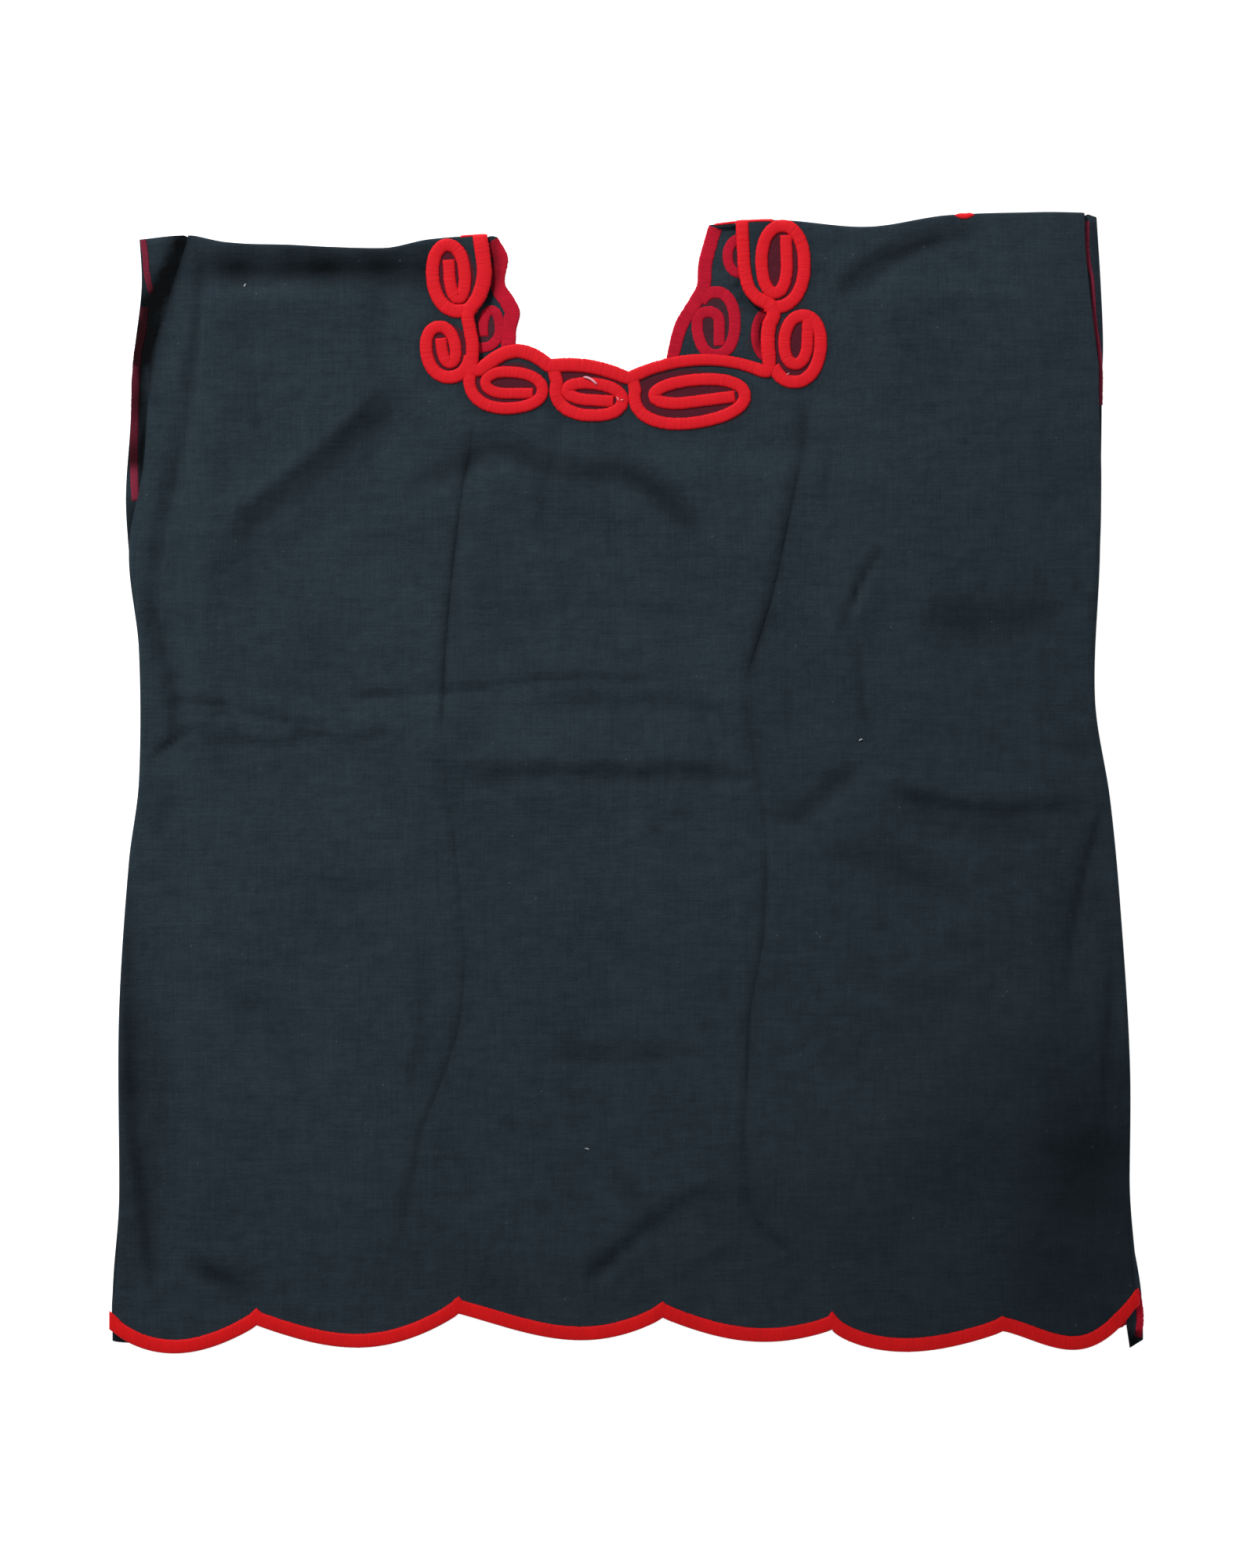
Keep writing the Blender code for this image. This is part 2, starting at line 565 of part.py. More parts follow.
def main():
    """Make the cloth and all its lines of stitching."""
    clear_scene()
    cotton = finish("slate cotton", COTTON, 0.9)
    satin = finish("red satin thread", SATIN, 0.5)
    band = finish("red hem thread", HEM_THREAD, 0.55)
    wrong_side = finish("crimson wrong side", WRONG_SIDE, 0.7)

    cloth_body(cotton)
    on_front = FRONT_TOP + SEAT
    on_back = BACK_TOP + SEAT
    hem_band("front_hem_band", True, range(COLUMNS + 1), on_front, LINE_HEIGHT, band)
    hem_band("back_hem_band", False, range(BACK_BAND_START, BACK_BAND_END + 1),
             on_back, WRONG_SIDE_HEIGHT, wrong_side)

    for front in (True, False):
        width = NECK_LINE_WIDTH if front else BACK_LINE_WIDTH
        line = neck_edge(front)
        edges = edges_beside(line, [width] * len(line), left_share=0.0)
        name = "front_neck_line" if front else "back_neck_line"
        height = LINE_HEIGHT if front else WRONG_SIDE_HEIGHT
        raised_line(name, *edges, on_front if front else on_back, height,
                    satin if front else wrong_side)

    for scrolls, seat, height, thread in (
            (FRONT_SCROLLS, on_front, LINE_HEIGHT, satin),
            (BACK_SCROLLS, on_back, WRONG_SIDE_HEIGHT, wrong_side)):
        for scroll in scrolls:
            line = scroll_line(scroll)
            last = len(line) - 1
            widths = [scroll.wide + (scroll.narrow - scroll.wide) * k / last
                      for k in range(last + 1)]
            raised_line(scroll.name, *edges_beside(line, widths), seat, height, thread)


main()
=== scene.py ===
"""Embroidered cotton top laid out flat: finished cloth, stitching and studio.

Sizes in the tables are millimetres in the plane of the laid-out top: X runs to the right
and Y to the neck. Heights are measured up from the surface that the back lies on.
"""

import math
from collections import namedtuple

import bpy
import numpy as np
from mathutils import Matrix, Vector


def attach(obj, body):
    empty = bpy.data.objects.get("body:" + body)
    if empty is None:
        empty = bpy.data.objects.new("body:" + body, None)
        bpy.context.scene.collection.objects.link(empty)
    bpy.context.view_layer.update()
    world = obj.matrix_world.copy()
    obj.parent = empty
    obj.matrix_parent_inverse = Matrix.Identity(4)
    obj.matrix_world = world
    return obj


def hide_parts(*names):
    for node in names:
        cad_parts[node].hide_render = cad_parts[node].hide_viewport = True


bl_info = {
    "name": "Embroidered Top",
    "version": (1, 0, 0),
    "blender": (4, 5, 0),
    "location": "View3D > Sidebar > Embroidered Top",
    "description": "Builds a laid-out cotton top with satin-stitched scrolls and a scalloped hem",
    "category": "Object",
}

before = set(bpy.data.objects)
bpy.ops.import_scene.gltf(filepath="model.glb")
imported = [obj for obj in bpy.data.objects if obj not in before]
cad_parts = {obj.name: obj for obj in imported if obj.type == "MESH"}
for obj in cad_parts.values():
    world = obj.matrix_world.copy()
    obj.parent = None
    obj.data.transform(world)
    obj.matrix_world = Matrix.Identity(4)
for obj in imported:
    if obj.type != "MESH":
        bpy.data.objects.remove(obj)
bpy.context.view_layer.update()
MM = 0.001

EdgePoint = namedtuple("EdgePoint", "y x")
ShoulderPoint = namedtuple("ShoulderPoint", "x y")
Scallop = namedtuple("Scallop", "x y drop low_at")
Fold = namedtuple("Fold", "x0 y0 x1 y1 half_width rise")
Crease = namedtuple("Crease", "form depth width fade path")
Scroll = namedtuple("Scroll", "name upright axis cross reach skip run tilt wide narrow lead",
                    defaults=((),))
Line = namedtuple("Line", "name thread width height path")
Tuft = namedtuple("Tuft", "x y length turn radius")
Panel = namedtuple("Panel", "sides necks lines bays hem hem_columns")
Thread = namedtuple("Thread", "name colour gloss dull streak")


def rows(kind, *values):
    """Rows of a table as named tuples of one kind."""
    return tuple(kind(*value) for value in values)


def soft_creases(*values):
    """Round creases, each a depth, a width, a fade and a path."""
    return tuple(Crease("soft", *value) for value in values)


# Columns of the cloth: ten each for the left side, the neck and the right side
BLOCK = 10
COLUMNS = 3 * BLOCK
BAY_COLUMNS = (3, 3, 4)

# Grid of each panel: steps a column and steps of the closer ones, and rows above and below
# the neck level. Closer columns crowd by a power, and so do the front's upper rows
FRONT_STEPS = (6, 11)
FRONT_ROWS = (33, 191)
BACK_STEPS = (4, 7)
BACK_ROWS = (22, 121)
CROWDING = 1.8
ROW_CROWDING = 1.15
WRAP_ROWS = 9
ABOVE_SHOULDERS = 400.0

# Share of the way from neck to hem over which the columns leave their place along the neck,
# where they begin to take up their place along the hem, and how much earlier the back's and
# the front's inner columns do so
NECK_BLEND = 0.13
HEM_BLEND = 0.86
HEM_EARLY = (0.3, 0.1)

# Columns of the hem between which the back's band is stitched
BACK_BAND = (1.0, 28.0)

# Side edges from the hem up to the foot of the armhole
LEFT_SIDE = rows(EdgePoint,
    (-345, -310), (-325, -309.5), (-260, -306), (-142, -306), (-48, -300), (0, -294), (79, -294),
    (138, -300))
RIGHT_SIDE = rows(EdgePoint,
    (-345, 306), (-314, 305), (-270, 301), (-170, 301), (-72, 295), (-10, 289), (50, 280),
    (138, 283))

# Armhole edges, front and back, on from the side edges
FRONT_LEFT_ARM = rows(EdgePoint,
    (187, -291.5), (234, -290), (259, -285.5), (285, -277.5), (304, -271.5), (327, -264))
FRONT_RIGHT_ARM = rows(EdgePoint,
    (234, 283.2), (262, 280.4), (281, 278), (297, 276.2), (320, 274), (340, 273.5))
BACK_LEFT_ARM = rows(EdgePoint, (168, -302), (210, -301), (257, -297), (297, -292.5), (330, -294))
BACK_RIGHT_ARM = rows(EdgePoint, (234, 284), (262, 285), (300, 283.5), (340, 281))

# Neck edges beside the opening, from the neck level up to the shoulder fold
FRONT_NECK_LEFT = rows(EdgePoint,
    (250, -90.5), (262, -90), (273, -91.8), (280, -92.6), (288, -86.8), (297, -83.4),
    (307, -82.4), (327, -85))
FRONT_NECK_RIGHT = rows(EdgePoint,
    (249, 81), (264, 79.6), (275, 80.6), (282, 82.8), (287, 75), (294, 69.4), (305, 66.4),
    (318, 65.4), (336, 64.6))
BACK_NECK_LEFT = rows(EdgePoint,
    (240, -73), (261, -68.3), (271, -67.7), (282, -65.5), (291, -69.5), (299, -74.5),
    (315, -72.8), (327, -79))
BACK_NECK_RIGHT = rows(EdgePoint,
    (240, 20), (257, 23.5), (275, 28.2), (291, 37.5), (298, 41.2), (312, 42.3), (336, 49))

# Shoulder fold lines
LEFT_SHOULDER = rows(ShoulderPoint,
    (-294, 325.5), (-265, 328), (-240, 324), (-200, 322.5), (-146, 320.5), (-120, 325.5),
    (-84, 328), (-79, 327))
RIGHT_SHOULDER = rows(ShoulderPoint,
    (48, 334), (63, 336), (93, 337), (143, 333), (190, 340), (230, 341.5), (272, 341.5),
    (281, 339))

# Hem scallops: where each starts, how far it drops and where it is lowest
FRONT_HEM = rows(Scallop,
    (-310, -328.5, 15.5, 0.45), (-223, -326, 17, 0.54), (-102, -319, 14.5, 0.58),
    (20.5, -321.5, 10.5, 0.52), (122, -328.5, 13, 0.42), (224.5, -329.5, 20, 0.6),
    (305, -314, 0, 0.5))
BACK_HEM = rows(Scallop,
    (-310, -335.5, 5, 0.42), (-223, -322, 14, 0.54), (-102, -315, 12, 0.58),
    (20.5, -317.5, 9, 0.52), (122, -324.5, 11, 0.42), (224.5, -325.5, 10, 0.5),
    (299, -326, 0, 0.5), (301, -340, 0, 0.5), (309, -335, 0, 0.5))

# Bays of the neck level, rising towards the opening
FRONT_BAYS = rows(Scallop,
    (-90.5, 250, -10.5, 0.5), (-46.5, 253, -3.5, 0.5), (0, 245.5, -8.5, 0.5), (81, 249.5, 0, 0.5))
BACK_BAYS = rows(Scallop,
    (-73, 240, 4, 0.5), (-42, 237, 2, 0.5), (-12, 237, 2, 0.5), (20, 240, 0, 0.5))

# The two storage creases, which the columns beside the neck follow down the front
LEFT_CREASE = rows(EdgePoint,
    (-345, -112), (-318, -130), (-286, -137), (-247, -132), (-213, -125), (-179, -112),
    (-149, -102), (-98, -98), (-30, -105), (23, -112), (71, -110), (128, -105), (183, -98),
    (219, -91), (250, -90.5))
RIGHT_CREASE = rows(EdgePoint,
    (-345, 122), (-300, 101), (-262, 81), (-230, 69), (-184, 71), (-138, 73), (-93, 81),
    (-36, 83), (0, 78), (55, 69), (87, 79), (114, 87), (151, 95), (197, 104), (229, 103),
    (249, 81))
BACK_LEFT_LINE = rows(EdgePoint, (-345, -102), (-318, -102), (240, -73))
BACK_RIGHT_LINE = rows(EdgePoint, (-345, 122), (-328, 122), (240, 20))

# What lays out each panel: its edges, inner lines, bays and hem with the columns of each scallop
FRONT = Panel((LEFT_SIDE + FRONT_LEFT_ARM, RIGHT_SIDE + FRONT_RIGHT_ARM),
              (FRONT_NECK_LEFT, FRONT_NECK_RIGHT), (LEFT_CREASE, RIGHT_CREASE), FRONT_BAYS,
              FRONT_HEM, (5, 5, 5, 5, 5, 5))
BACK = Panel((LEFT_SIDE + BACK_LEFT_ARM, RIGHT_SIDE + BACK_RIGHT_ARM),
             (BACK_NECK_LEFT, BACK_NECK_RIGHT), (BACK_LEFT_LINE, BACK_RIGHT_LINE), BACK_BAYS,
             BACK_HEM, (5, 5, 5, 5, 5, 3, 1, 1))

# Largest folds of the front: the two ends of each crest, its half width and its rise
FOLDS = rows(Fold,
    (-92, 190, -112, 20, 20, 2), (-98, -85, -130, -270, 20, 2), (98, 190, 70, 50, 20, 2),
    (82, -5, 68, -235, 20, 1.8), (-108, 6, 76, 6, 20, 2.4), (-243, 285, -266, 40, 20, 3),
    (-236, 288, -160, 290, 18, 2.6), (-142, 160, -50, 184, 20, 2), (-50, 184, 46, 140, 20, 2),
    (-165, 205, -241, 145, 18, 2.4), (-270, 24, -114, 34, 16, 1.8), (149, -8, 268, -24, 18, 2),
    (158, 142, 128, 90, 16, 1.6), (190, 312, 160, 290, 18, 2.2), (262, -45, 250, -140, 18, 2),
    (-25, -284, 46, -246, 16, 1.8))

# Creases of the front: pressed ones are sharp, soft ones round; depth below 0 is a trough
CREASES = rows(Crease,
    ("pressed", -1, 2.6, 25, ((-91, 219), (-98, 183), (-105, 128), (-110, 71), (-112, 23))),
    ("pressed", -0.4, 2.6, 20, ((-112, 23), (-105, -30), (-98, -98))),
    ("pressed", -0.7, 2.8, 25, ((-98, -85), (-98, -111), (-102, -149), (-112, -179),
     (-125, -213), (-132, -247), (-137, -286))),
    ("soft", -0.5, 4, 25, ((-119, -93), (-120, -149), (-129, -195))),
    ("pressed", -1, 2.6, 20, ((106, 229), (104, 197), (95, 151), (87, 114), (79, 87), (69, 55))),
    ("soft", -0.6, 3.2, 16, ((98, 64), (94, 21))),
    ("pressed", -0.5, 2.6, 20, ((69, 55), (78, 0), (83, -36))),
    ("pressed", -0.9, 2.6, 25, ((83, -36), (81, -93), (73, -138), (71, -184), (69, -230),
     (72, -252), (83, -270), (109, -289))),
    ("soft", -1.2, 8, 50, ((-250, 309), (-189, 309), (-146, 309), (-118, 311))),
    ("soft", -1.6, 2.6, 12, ((-265, 330), (-272, 304), (-278, 285), (-286, 259), (-291, 226))),
    ("soft", -1.2, 4, 30, ((-256, 322), (-259, 281), (-267, 222), (-281, 149), (-286, 98),
     (-276, 55), (-271, 18))),
    ("soft", -2, 9, 40, ((-243, 141), (-193, 183), (-147, 224), (-129, 230))),
    ("soft", -1.5, 8, 40, ((-143, 169), (-98, 192), (-77, 203), (-56, 192), (-29, 185),
     (-1, 187), (26, 167), (45, 149))),
    ("soft", -1.7, 6, 22, ((213, 333), (173, 322), (145, 306), (125, 290))),
    ("soft", -0.6, 4, 8, ((110, 308), (122, 301))),
    ("pressed", -1.1, 2.4, 14, ((158, 142), (145, 133), (136, 114), (126, 85))),
    ("soft", 0.7, 5, 14, ((150, 128), (141, 108), (133, 84))),
    ("pressed", -0.6, 2, 12, ((136, 96), (139, 57))),
    ("pressed", -0.4, 2, 6, ((140, 44), (146, 28))),
    ("soft", -1.4, 13, 35, ((168, 98), (227, 96), (259, 108))),
    ("soft", -0.8, 5, 10, ((259, 22), (279, 14))),
    ("pressed", -0.9, 2, 12, ((-273, 47), (-236, 46))),
    ("pressed", -0.9, 2, 12, ((-236, 44), (-216, 39), (-176, 32))),
    ("pressed", -0.9, 2.2, 20, ((-171, 51), (-107, 54), (-45, 62), (20, 60))),
    ("soft", -0.9, 6, 30, ((-60, 44), (10, 48), (62, 40))),
    ("soft", -0.9, 4, 20, ((-262, 26), (-226, 22), (-180, 26))),
    ("pressed", -0.4, 2, 8, ((-109, 35), (-91, 33))),
    ("pressed", -0.5, 2.2, 10, ((-171, 24), (-141, 32))),
    ("soft", -1.7, 6.5, 40, ((-111, 2), (4, 4), (86, 2))),
    ("soft", -1.3, 6, 18, ((86, -26), (102, -21), (140, 12))),
    ("soft", -1.9, 5, 25, ((150, -4), (200, -17), (261, -17), (284, -15))),
    ("soft", -0.5, 4, 10, ((13, -36), (24, -24), (45, -23))),
    ("soft", -1, 9, 25, ((131, -40), (158, -47), (193, -65))),
    ("soft", -0.8, 6, 40, ((-58, -165), (47, -161))),
    ("pressed", -0.8, 2.4, 10, ((-286, 16), (-262, 32))),
    ("soft", -0.4, 4, 12, ((-242, 196), (-241, 164))),
    ("soft", -0.8, 4, 12, ((-282, -42), (-275, -6))),
    ("soft", -1.3, 7, 35, ((-296, -129), (-296, -206), (-291, -234), (-287, -275),
     (-284, -289))),
    ("soft", -0.8, 5, 15, ((-262, -284), (-227, -313))),
    ("pressed", -1, 2.8, 25, ((284, -15), (269, -68), (260, -120))),
    ("soft", -0.9, 6, 30, ((290, -81), (287, -184))),
    ("soft", -0.9, 3.4, 12, ((-27, -302), (-4, -282))),
    ("soft", -1.6, 4, 15, ((-26, -300), (1, -276), (26, -256), (52, -243))),
    ("soft", -0.5, 2.6, 6, ((48, -242), (61, -240))),
    ("soft", -0.7, 4, 14, ((22, -305), (67, -277))),
    ("soft", -0.9, 34, 90, ((294, -140), (266, -220), (244, -310))),
    ("soft", -0.7, 26, 60, ((236, -190), (170, -260), (110, -300))),
    ("soft", -0.8, 5, 20, ((-263, -292), (-246, -297), (-226, -300))),
    ("soft", -0.6, 5, 20, ((-60, 100), (-20, 104), (40, 98))),
    ("soft", -0.7, 4, 20, ((-40, 236), (-44, 205), (-52, 150))),
    ("pressed", -0.5, 2, 10, ((120, 210), (118, 160))),
    ("pressed", -0.5, 2, 14, ((-226, 250), (-222, 200))),
    ("soft", 0.8, 4, 20, ((-240, 160), (-190, 198), (-150, 234))),
    ("pressed", -0.6, 2.2, 14, ((150, 122), (156, 96))),
    ("soft", -0.7, 7, 30, ((-200, -60), (-160, -64), (-128, -58))),
    ("soft", -0.6, 8, 30, ((-250, -120), (-210, -150), (-190, -200))),
    ("soft", -0.6, 8, 30, ((120, -110), (170, -130), (220, -128))))

# Reach of a crease to each side in widths, the share of its fade that lies before its ends,
# and its evenness: mean strength, how much that varies, over what length and the first seed
REACH = {"pressed": 4.5, "soft": 3.0}
FADE_START = 0.15
UNEVEN = (0.82, 0.3, 17.0, 40)

# Ripple of the front: height, size of a cell and seed of each of its layers
RIPPLES = ((0.55, 47.0, 3), (0.22, 19.0, 4), (0.07, 7.0, 5))
LEAST_GAP = 2.6

# Swell of the front: where it starts from each edge, and over what length it rises
SWELL_HEM, SWELL_SHOULDER = (-318.0, 40.0), (308.0, 20.0)
SWELL_LEFT, SWELL_RIGHT = (-280.0, 30.0), (270.0, 30.0)
NECK_CENTRE, NECK_CLEAR, BELOW_NECK = -2.0, (142.0, 20.0), (202.0, 20.0)

# Where the side seams end, at the armholes and at the vents, and how long they take to
SEAM_TOP, SEAM_FOOT = (160.0, 22.0), (-314.0, 8.0)

# Gentle creases on the under side of the back, which lies on the surface
BACK_CREASES = soft_creases(
    (0.5, 8, 40, ((-60, 180), (-40, 20), (-66, -160), (-50, -280))),
    (0.4, 9, 40, ((120, 250), (96, 60), (128, -120), (110, -260))),
    (0.5, 10, 40, ((-230, -30), (-60, 10), (150, -24), (240, -10))),
    (0.4, 7, 30, ((-200, 230), (-150, 150), (-60, 120))))

# Scrolls of the front, each a run of half ovals that close in on a straight end
FRONT_SCROLLS = rows(Scroll,
    ("scroll_1", True, 304, (-86.7, -117.5, -98.2, -107.4), (-22, 17.9, -14), 0.33, 9.2, 3, 8.5,
     7.4),
    ("scroll_2", True, 259.4, (-94.9, -121.3, -103.7, -111.8), (-17, 13.9, -8.4), 0.1, 7, 7, 8.2,
     7),
    ("scroll_3", False, -73.5, (257, 223.8, 245.6, 232.8), (-21.9, 21.9, -12.2), 0.3, 16.4, 0,
     7.6, 6.6),
    ("scroll_4", False, -23.5, (248.6, 219.6, 238.8, 228.8), (-20.2, 20.2, -13.4), 0.42, 15,
     -3.5, 7.8, 7.2, ((-46, 250),)),
    ("scroll_5", False, 36.4, (251.8, 214.9, 240.4, 227.4), (-33, 32.8, -21), 0.42, 27, 7.5, 7.6,
     7.4, ((1.4, 246),)),
    ("scroll_6", True, 263, (84.6, 115.2, 93.4, 107.2), (-23.4, 16.5, -12.6), 0.2, 15, -2, 8,
     7.2),
    ("scroll_7", True, 311, (69.8, 105.4, 79.8, 94.9), (-26.6, 22, -18), 0.4, 16.5, 1.5, 8, 7.4))

# Scrolls of the back seen from their wrong side through the neck
BACK_SCROLLS = rows(Scroll,
    ("back_scroll_1", True, 272, (-100, -77.4, -87.2), (-11.5, 11), 0.3, 4.8, 0, 6.2, 6),
    ("back_scroll_2", True, 275.5, (40.9, 63.9, 41.2, 54.5), (18.4, -19.4, 6.6), 0.22, 14, 0,
     7.4, 6.8),
    ("back_scroll_3", True, 316, (84, 59.6, 76), (11, -11), 0.1, 4, 0, 6.6, 6),
    ("back_scroll_4", True, 268.5, (99, 76.2, 92), (15, -14), 0.1, 4, 0, 5.6, 5))

# Widths of the neck line by the way along it from the left shoulder
NECK_WIDTHS = ((0, 8.6), (42, 8.9), (56, 7.6), (80, 7.6), (94, 8.3), (130, 8.3), (176, 8.0),
               (196, 7.0), (252, 6.6), (274, 8.2), (300, 8.4), (316, 7.4), (380, 7.4))
BACK_NECK_WIDTHS = ((0, 9.0), (60, 9.0), (90, 7.0), (200, 7.2), (240, 8.2), (300, 8.2))

# Painted shade on the front: darkening painted along its deep folds and over its lower right
# corner, where the light falls off
FRONT_SHADES = soft_creases(
    (0.66, 12, 30, ((-268, 308), (-200, 309), (-142, 309), (-100, 312))),
    (0.55, 4.4, 10, ((-263, 338), (-270, 306), (-277, 285), (-285, 259), (-291, 222))),
    (0.3, 8, 30, ((-120, 180), (-98, 190), (-77, 196), (-50, 189), (-20, 185), (5, 181),
     (28, 163), (48, 144))),
    (0.18, 9, 40, ((-246, 134), (-193, 177), (-147, 217), (-120, 228))),
    (0.26, 6, 30, ((146, -10), (200, -25), (262, -26))),
    (0.22, 14, 40, ((170, 100), (227, 100), (262, 112))),
    (0.32, 4, 70, ((-302, -30), (-301, -110), (-299, -206), (-294, -240), (-288, -292),
     (-282, -325))),
    (0.16, 10, 40, ((-282, -140), (-280, -190), (-281, -245))),
    (0.22, 2.6, 20, ((285, -8), (271, -62), (260, -134))),
    (0.18, 4, 20, ((-290, 14), (-262, 34), (-226, 32))),
    (0.14, 7, 30, ((104, 240), (98, 180), (84, 110), (72, 50), (80, 0))),
    (0.2, 20, 60, ((-304, -60), (-300, -200), (-296, -320))),
    (0.25, 5, 20, ((-262, -292), (-246, -297), (-222, -301))),
    (0.16, 5, 10, ((-10, -230), (20, -262), (62, -240))),
    (0.34, 90, 80, ((312, -140), (302, -240), (285, -310), (276, -400))),
    (0.2, 30, 40, ((288, -190), (272, -250), (262, -292), (258, -330))),
    (0.34, 1.7, 8, ((-280, 50), (-262, 49), (-238, 47))),
    (0.36, 1.7, 8, ((-272, 40), (-256, 42), (-236, 41))),
    (0.34, 1.9, 10, ((-206, 34), (-184, 29), (-168, 25), (-152, 28), (-136, 31))),
    (0.34, 1.9, 8, ((-290, 10), (-276, 24), (-262, 31))),
    (0.3, 3.4, 16, ((-284, 106), (-278, 78), (-272, 54), (-274, 36), (-278, 20))),
    (0.2, 2.6, 30, ((-256, 320), (-259, 281), (-264, 225), (-276, 165), (-284, 124))),
    (0.34, 1.8, 10, ((128, 92), (134, 110), (144, 128), (152, 137))),
    (0.28, 3.4, 12, ((122, 288), (130, 299), (147, 313), (168, 320), (192, 328))),
    (0.26, 2.2, 16, ((289, -112), (286, -160), (283, -205))),
    (0.15, 6, 24, ((112, -38), (150, -50), (214, -70))),
    (0.18, 2.6, 16, ((-40, -166), (-8, -167), (26, -163), (50, -160))),
    (0.2, 1.8, 8, ((138, 66), (139, 52), (142, 34))),
    (0.16, 3, 14, ((-128, -96), (-126, -140), (-134, -190))),
    (0.2, 1.8, 6, ((-4, -40), (8, -34), (22, -24))))

# Painted shade on the inner side of the back and on its wrong-side stitches, where they lie in
# the shade of the front's edges; the last two darken the corners at the hem
BACK_SHADES = soft_creases(
    (1.5, 6.6, 8, ((-265, 332), (-274, 309), (-282, 288), (-288, 266), (-292, 248))),
    (0.35, 6, 10, ((-293, 340), (-290, 306), (-285, 280))),
    (0.92, 7, 11, ((-292, 296), (-296, 245), (-298, 184))),
    (0.6, 6, 8, ((-296, 172), (-297, 140), (-298, 120))),
    (0.9, 2.2, 12, ((-292, 254), (-292, 234), (-292, 168))),
    (0.36, 4, 8, ((280, 340), (281, 300), (284, 255))),
    (0.75, 3.6, 6, ((-82, 330), (-80, 306), (-82, 296), (-88, 282))),
    (0.8, 3, 6, ((49, 335), (66, 337))),
    (0.6, 3, 8, ((64, 305), (68, 292), (79, 283), (78, 268), (78, 255))),
    (0.8, 5, 4, ((-310, -334), (-300, -338))),
    (1, 8, 4, ((302, -328), (303, -342))))

# Finishes of the threads
SATIN = Thread("red satin thread", "satin", 0.08, 0.6, 0.16)
HEM_THREAD = Thread("red hem thread", "band", 0.08, 0.6, 0.2)
WRONG_SIDE = Thread("crimson wrong side", "wrong_side", 0.06, 0.85, 0.34)
PLUM = Thread("plum armhole thread", "plum", 0.05, 0.9, 0.3)

# Crimson wrong-side stitching that shows beside the armholes and at the right vent
ARMHOLE_LINES = rows(Line,
    ("left_armhole_stitches_upper", PLUM, 3.8, 0.45, ((-291.6, 325.4), (-290.2, 315.8),
     (-289.5, 306.4), (-288.1, 299.4), (-286.4, 293))),
    ("left_armhole_stitches_lower", PLUM, 5, 0.45, ((-290.5, 285), (-291.8, 271), (-294.3, 260),
     (-295.4, 250), (-296.1, 233.6), (-296.6, 214.8), (-297, 196), (-296.8, 181.9),
     (-296, 168.5))),
    ("right_armhole_stitches", PLUM, 2.6, 0.45, ((275.5, 336.5), (275.4, 322.9), (275.7, 317.3),
     (276.8, 308.8), (278.2, 303.2), (279.2, 290), (279.7, 280.6), (280.7, 271.2),
     (282.2, 261.8), (283.2, 252.4), (283.6, 243), (283.5, 226))),
    ("right_vent_stitches", WRONG_SIDE, 4.4, 0.8, ((304.8, -306), (306.6, -314), (307.2, -324),
     (306, -333.5))))

# Stitches of the back that come over the shoulder fold
FOLD_LINES = rows(Line,
    ("right_shoulder_stitches", SATIN, 6.5, 0.7, ((197, 342.2), (201, 340.6), (206.4, 342.4))),
    ("left_neck_fold_stitches", SATIN, 3, 0.7, ((-101, 327.6), (-94, 328.4), (-86, 328.6))),
    ("right_neck_corner_stitches", SATIN, 1.6, 0.5, ((51.5, 334.2), (58, 335), (66, 335.8))),
    ("right_neck_fold_stitches", SATIN, 2.2, 0.7, ((66, 336), (76, 336.8), (87, 336.8))))

# White thread left on the embroidery and lint on the cloth
STRAY_THREADS = rows(Tuft,
    (-23, 240.2, 9.4, -29, 0.7), (-6.6, 229.4, 2.6, -60, 0.3), (-4, 228.6, 1.6, 15, 0.3),
    (95.6, 244.2, 1.8, 40, 0.25))
LINT = rows(Tuft,
    (-229.8, 297, 2.2, 60, 0.4), (139.1, 24.9, 2.4, 20, 0.42), (-24.9, -220, 2.6, -15, 0.36))

# Unevenness of the stitches: at their ends, in mm, and in height; the dip between two of
# them; how far the line's ends sink in, and how far they are rounded, in mm
JITTER_END, JITTER_HEIGHT = 0.08, 0.03
DIP = 0.93
SINK_LENGTH, ROUNDING = 12.0, 1.3

# Roundness of the scrolls' half ovals and points along each; how far the hem band runs past
# the sides, and the slope up to which it keeps its width; points along and round a tuft
OVAL, OVAL_POINTS = 0.92, 24
PAST_SIDES, STEEPEST = 1.5, 0.9
TUFT_POINTS = 9

# Section of a satin-stitched line: share of its width and of its height
SECTION = ((0.0, 0.0), (0.02, 0.38), (0.075, 0.76), (0.2, 0.95), (0.5, 1.0),
           (0.8, 0.95), (0.925, 0.76), (0.98, 0.38), (1.0, 0.0))

# Studio: place and aim of the lamp above the top's left shoulder, in metres
KEY_PLACE = (-1.638, 2.838, 2.294)
KEY_AIM = (-0.902, 1.303, 0.0)
SPOT_BLEND = 0.12
CAMERA_PLACE = (-0.00094, -0.00141)
CAMERA_RANGE = 20.0
FILM_WIDTH = 36.0
TOP_LEVEL = 0.004
FLOOR_SIZE = 6.0
FLOOR_LEVEL = -0.0006


def colour_property(name, description, default):
    """Property for the colour of a finish."""
    return bpy.props.FloatVectorProperty(
        name=name, description=description, default=default, min=0.0, max=1.0,
        subtype="COLOR", size=3)


def number_property(name, description, default, **more):
    """Property for a number that isn't below 0."""
    return bpy.props.FloatProperty(
        name=name, description=description, default=default, min=0.0, **more)


def length_property(name, description, default):
    """Property for a length, which is kept in metres."""
    return number_property(name, description, default, subtype="DISTANCE", unit="LENGTH",
                           precision=5)


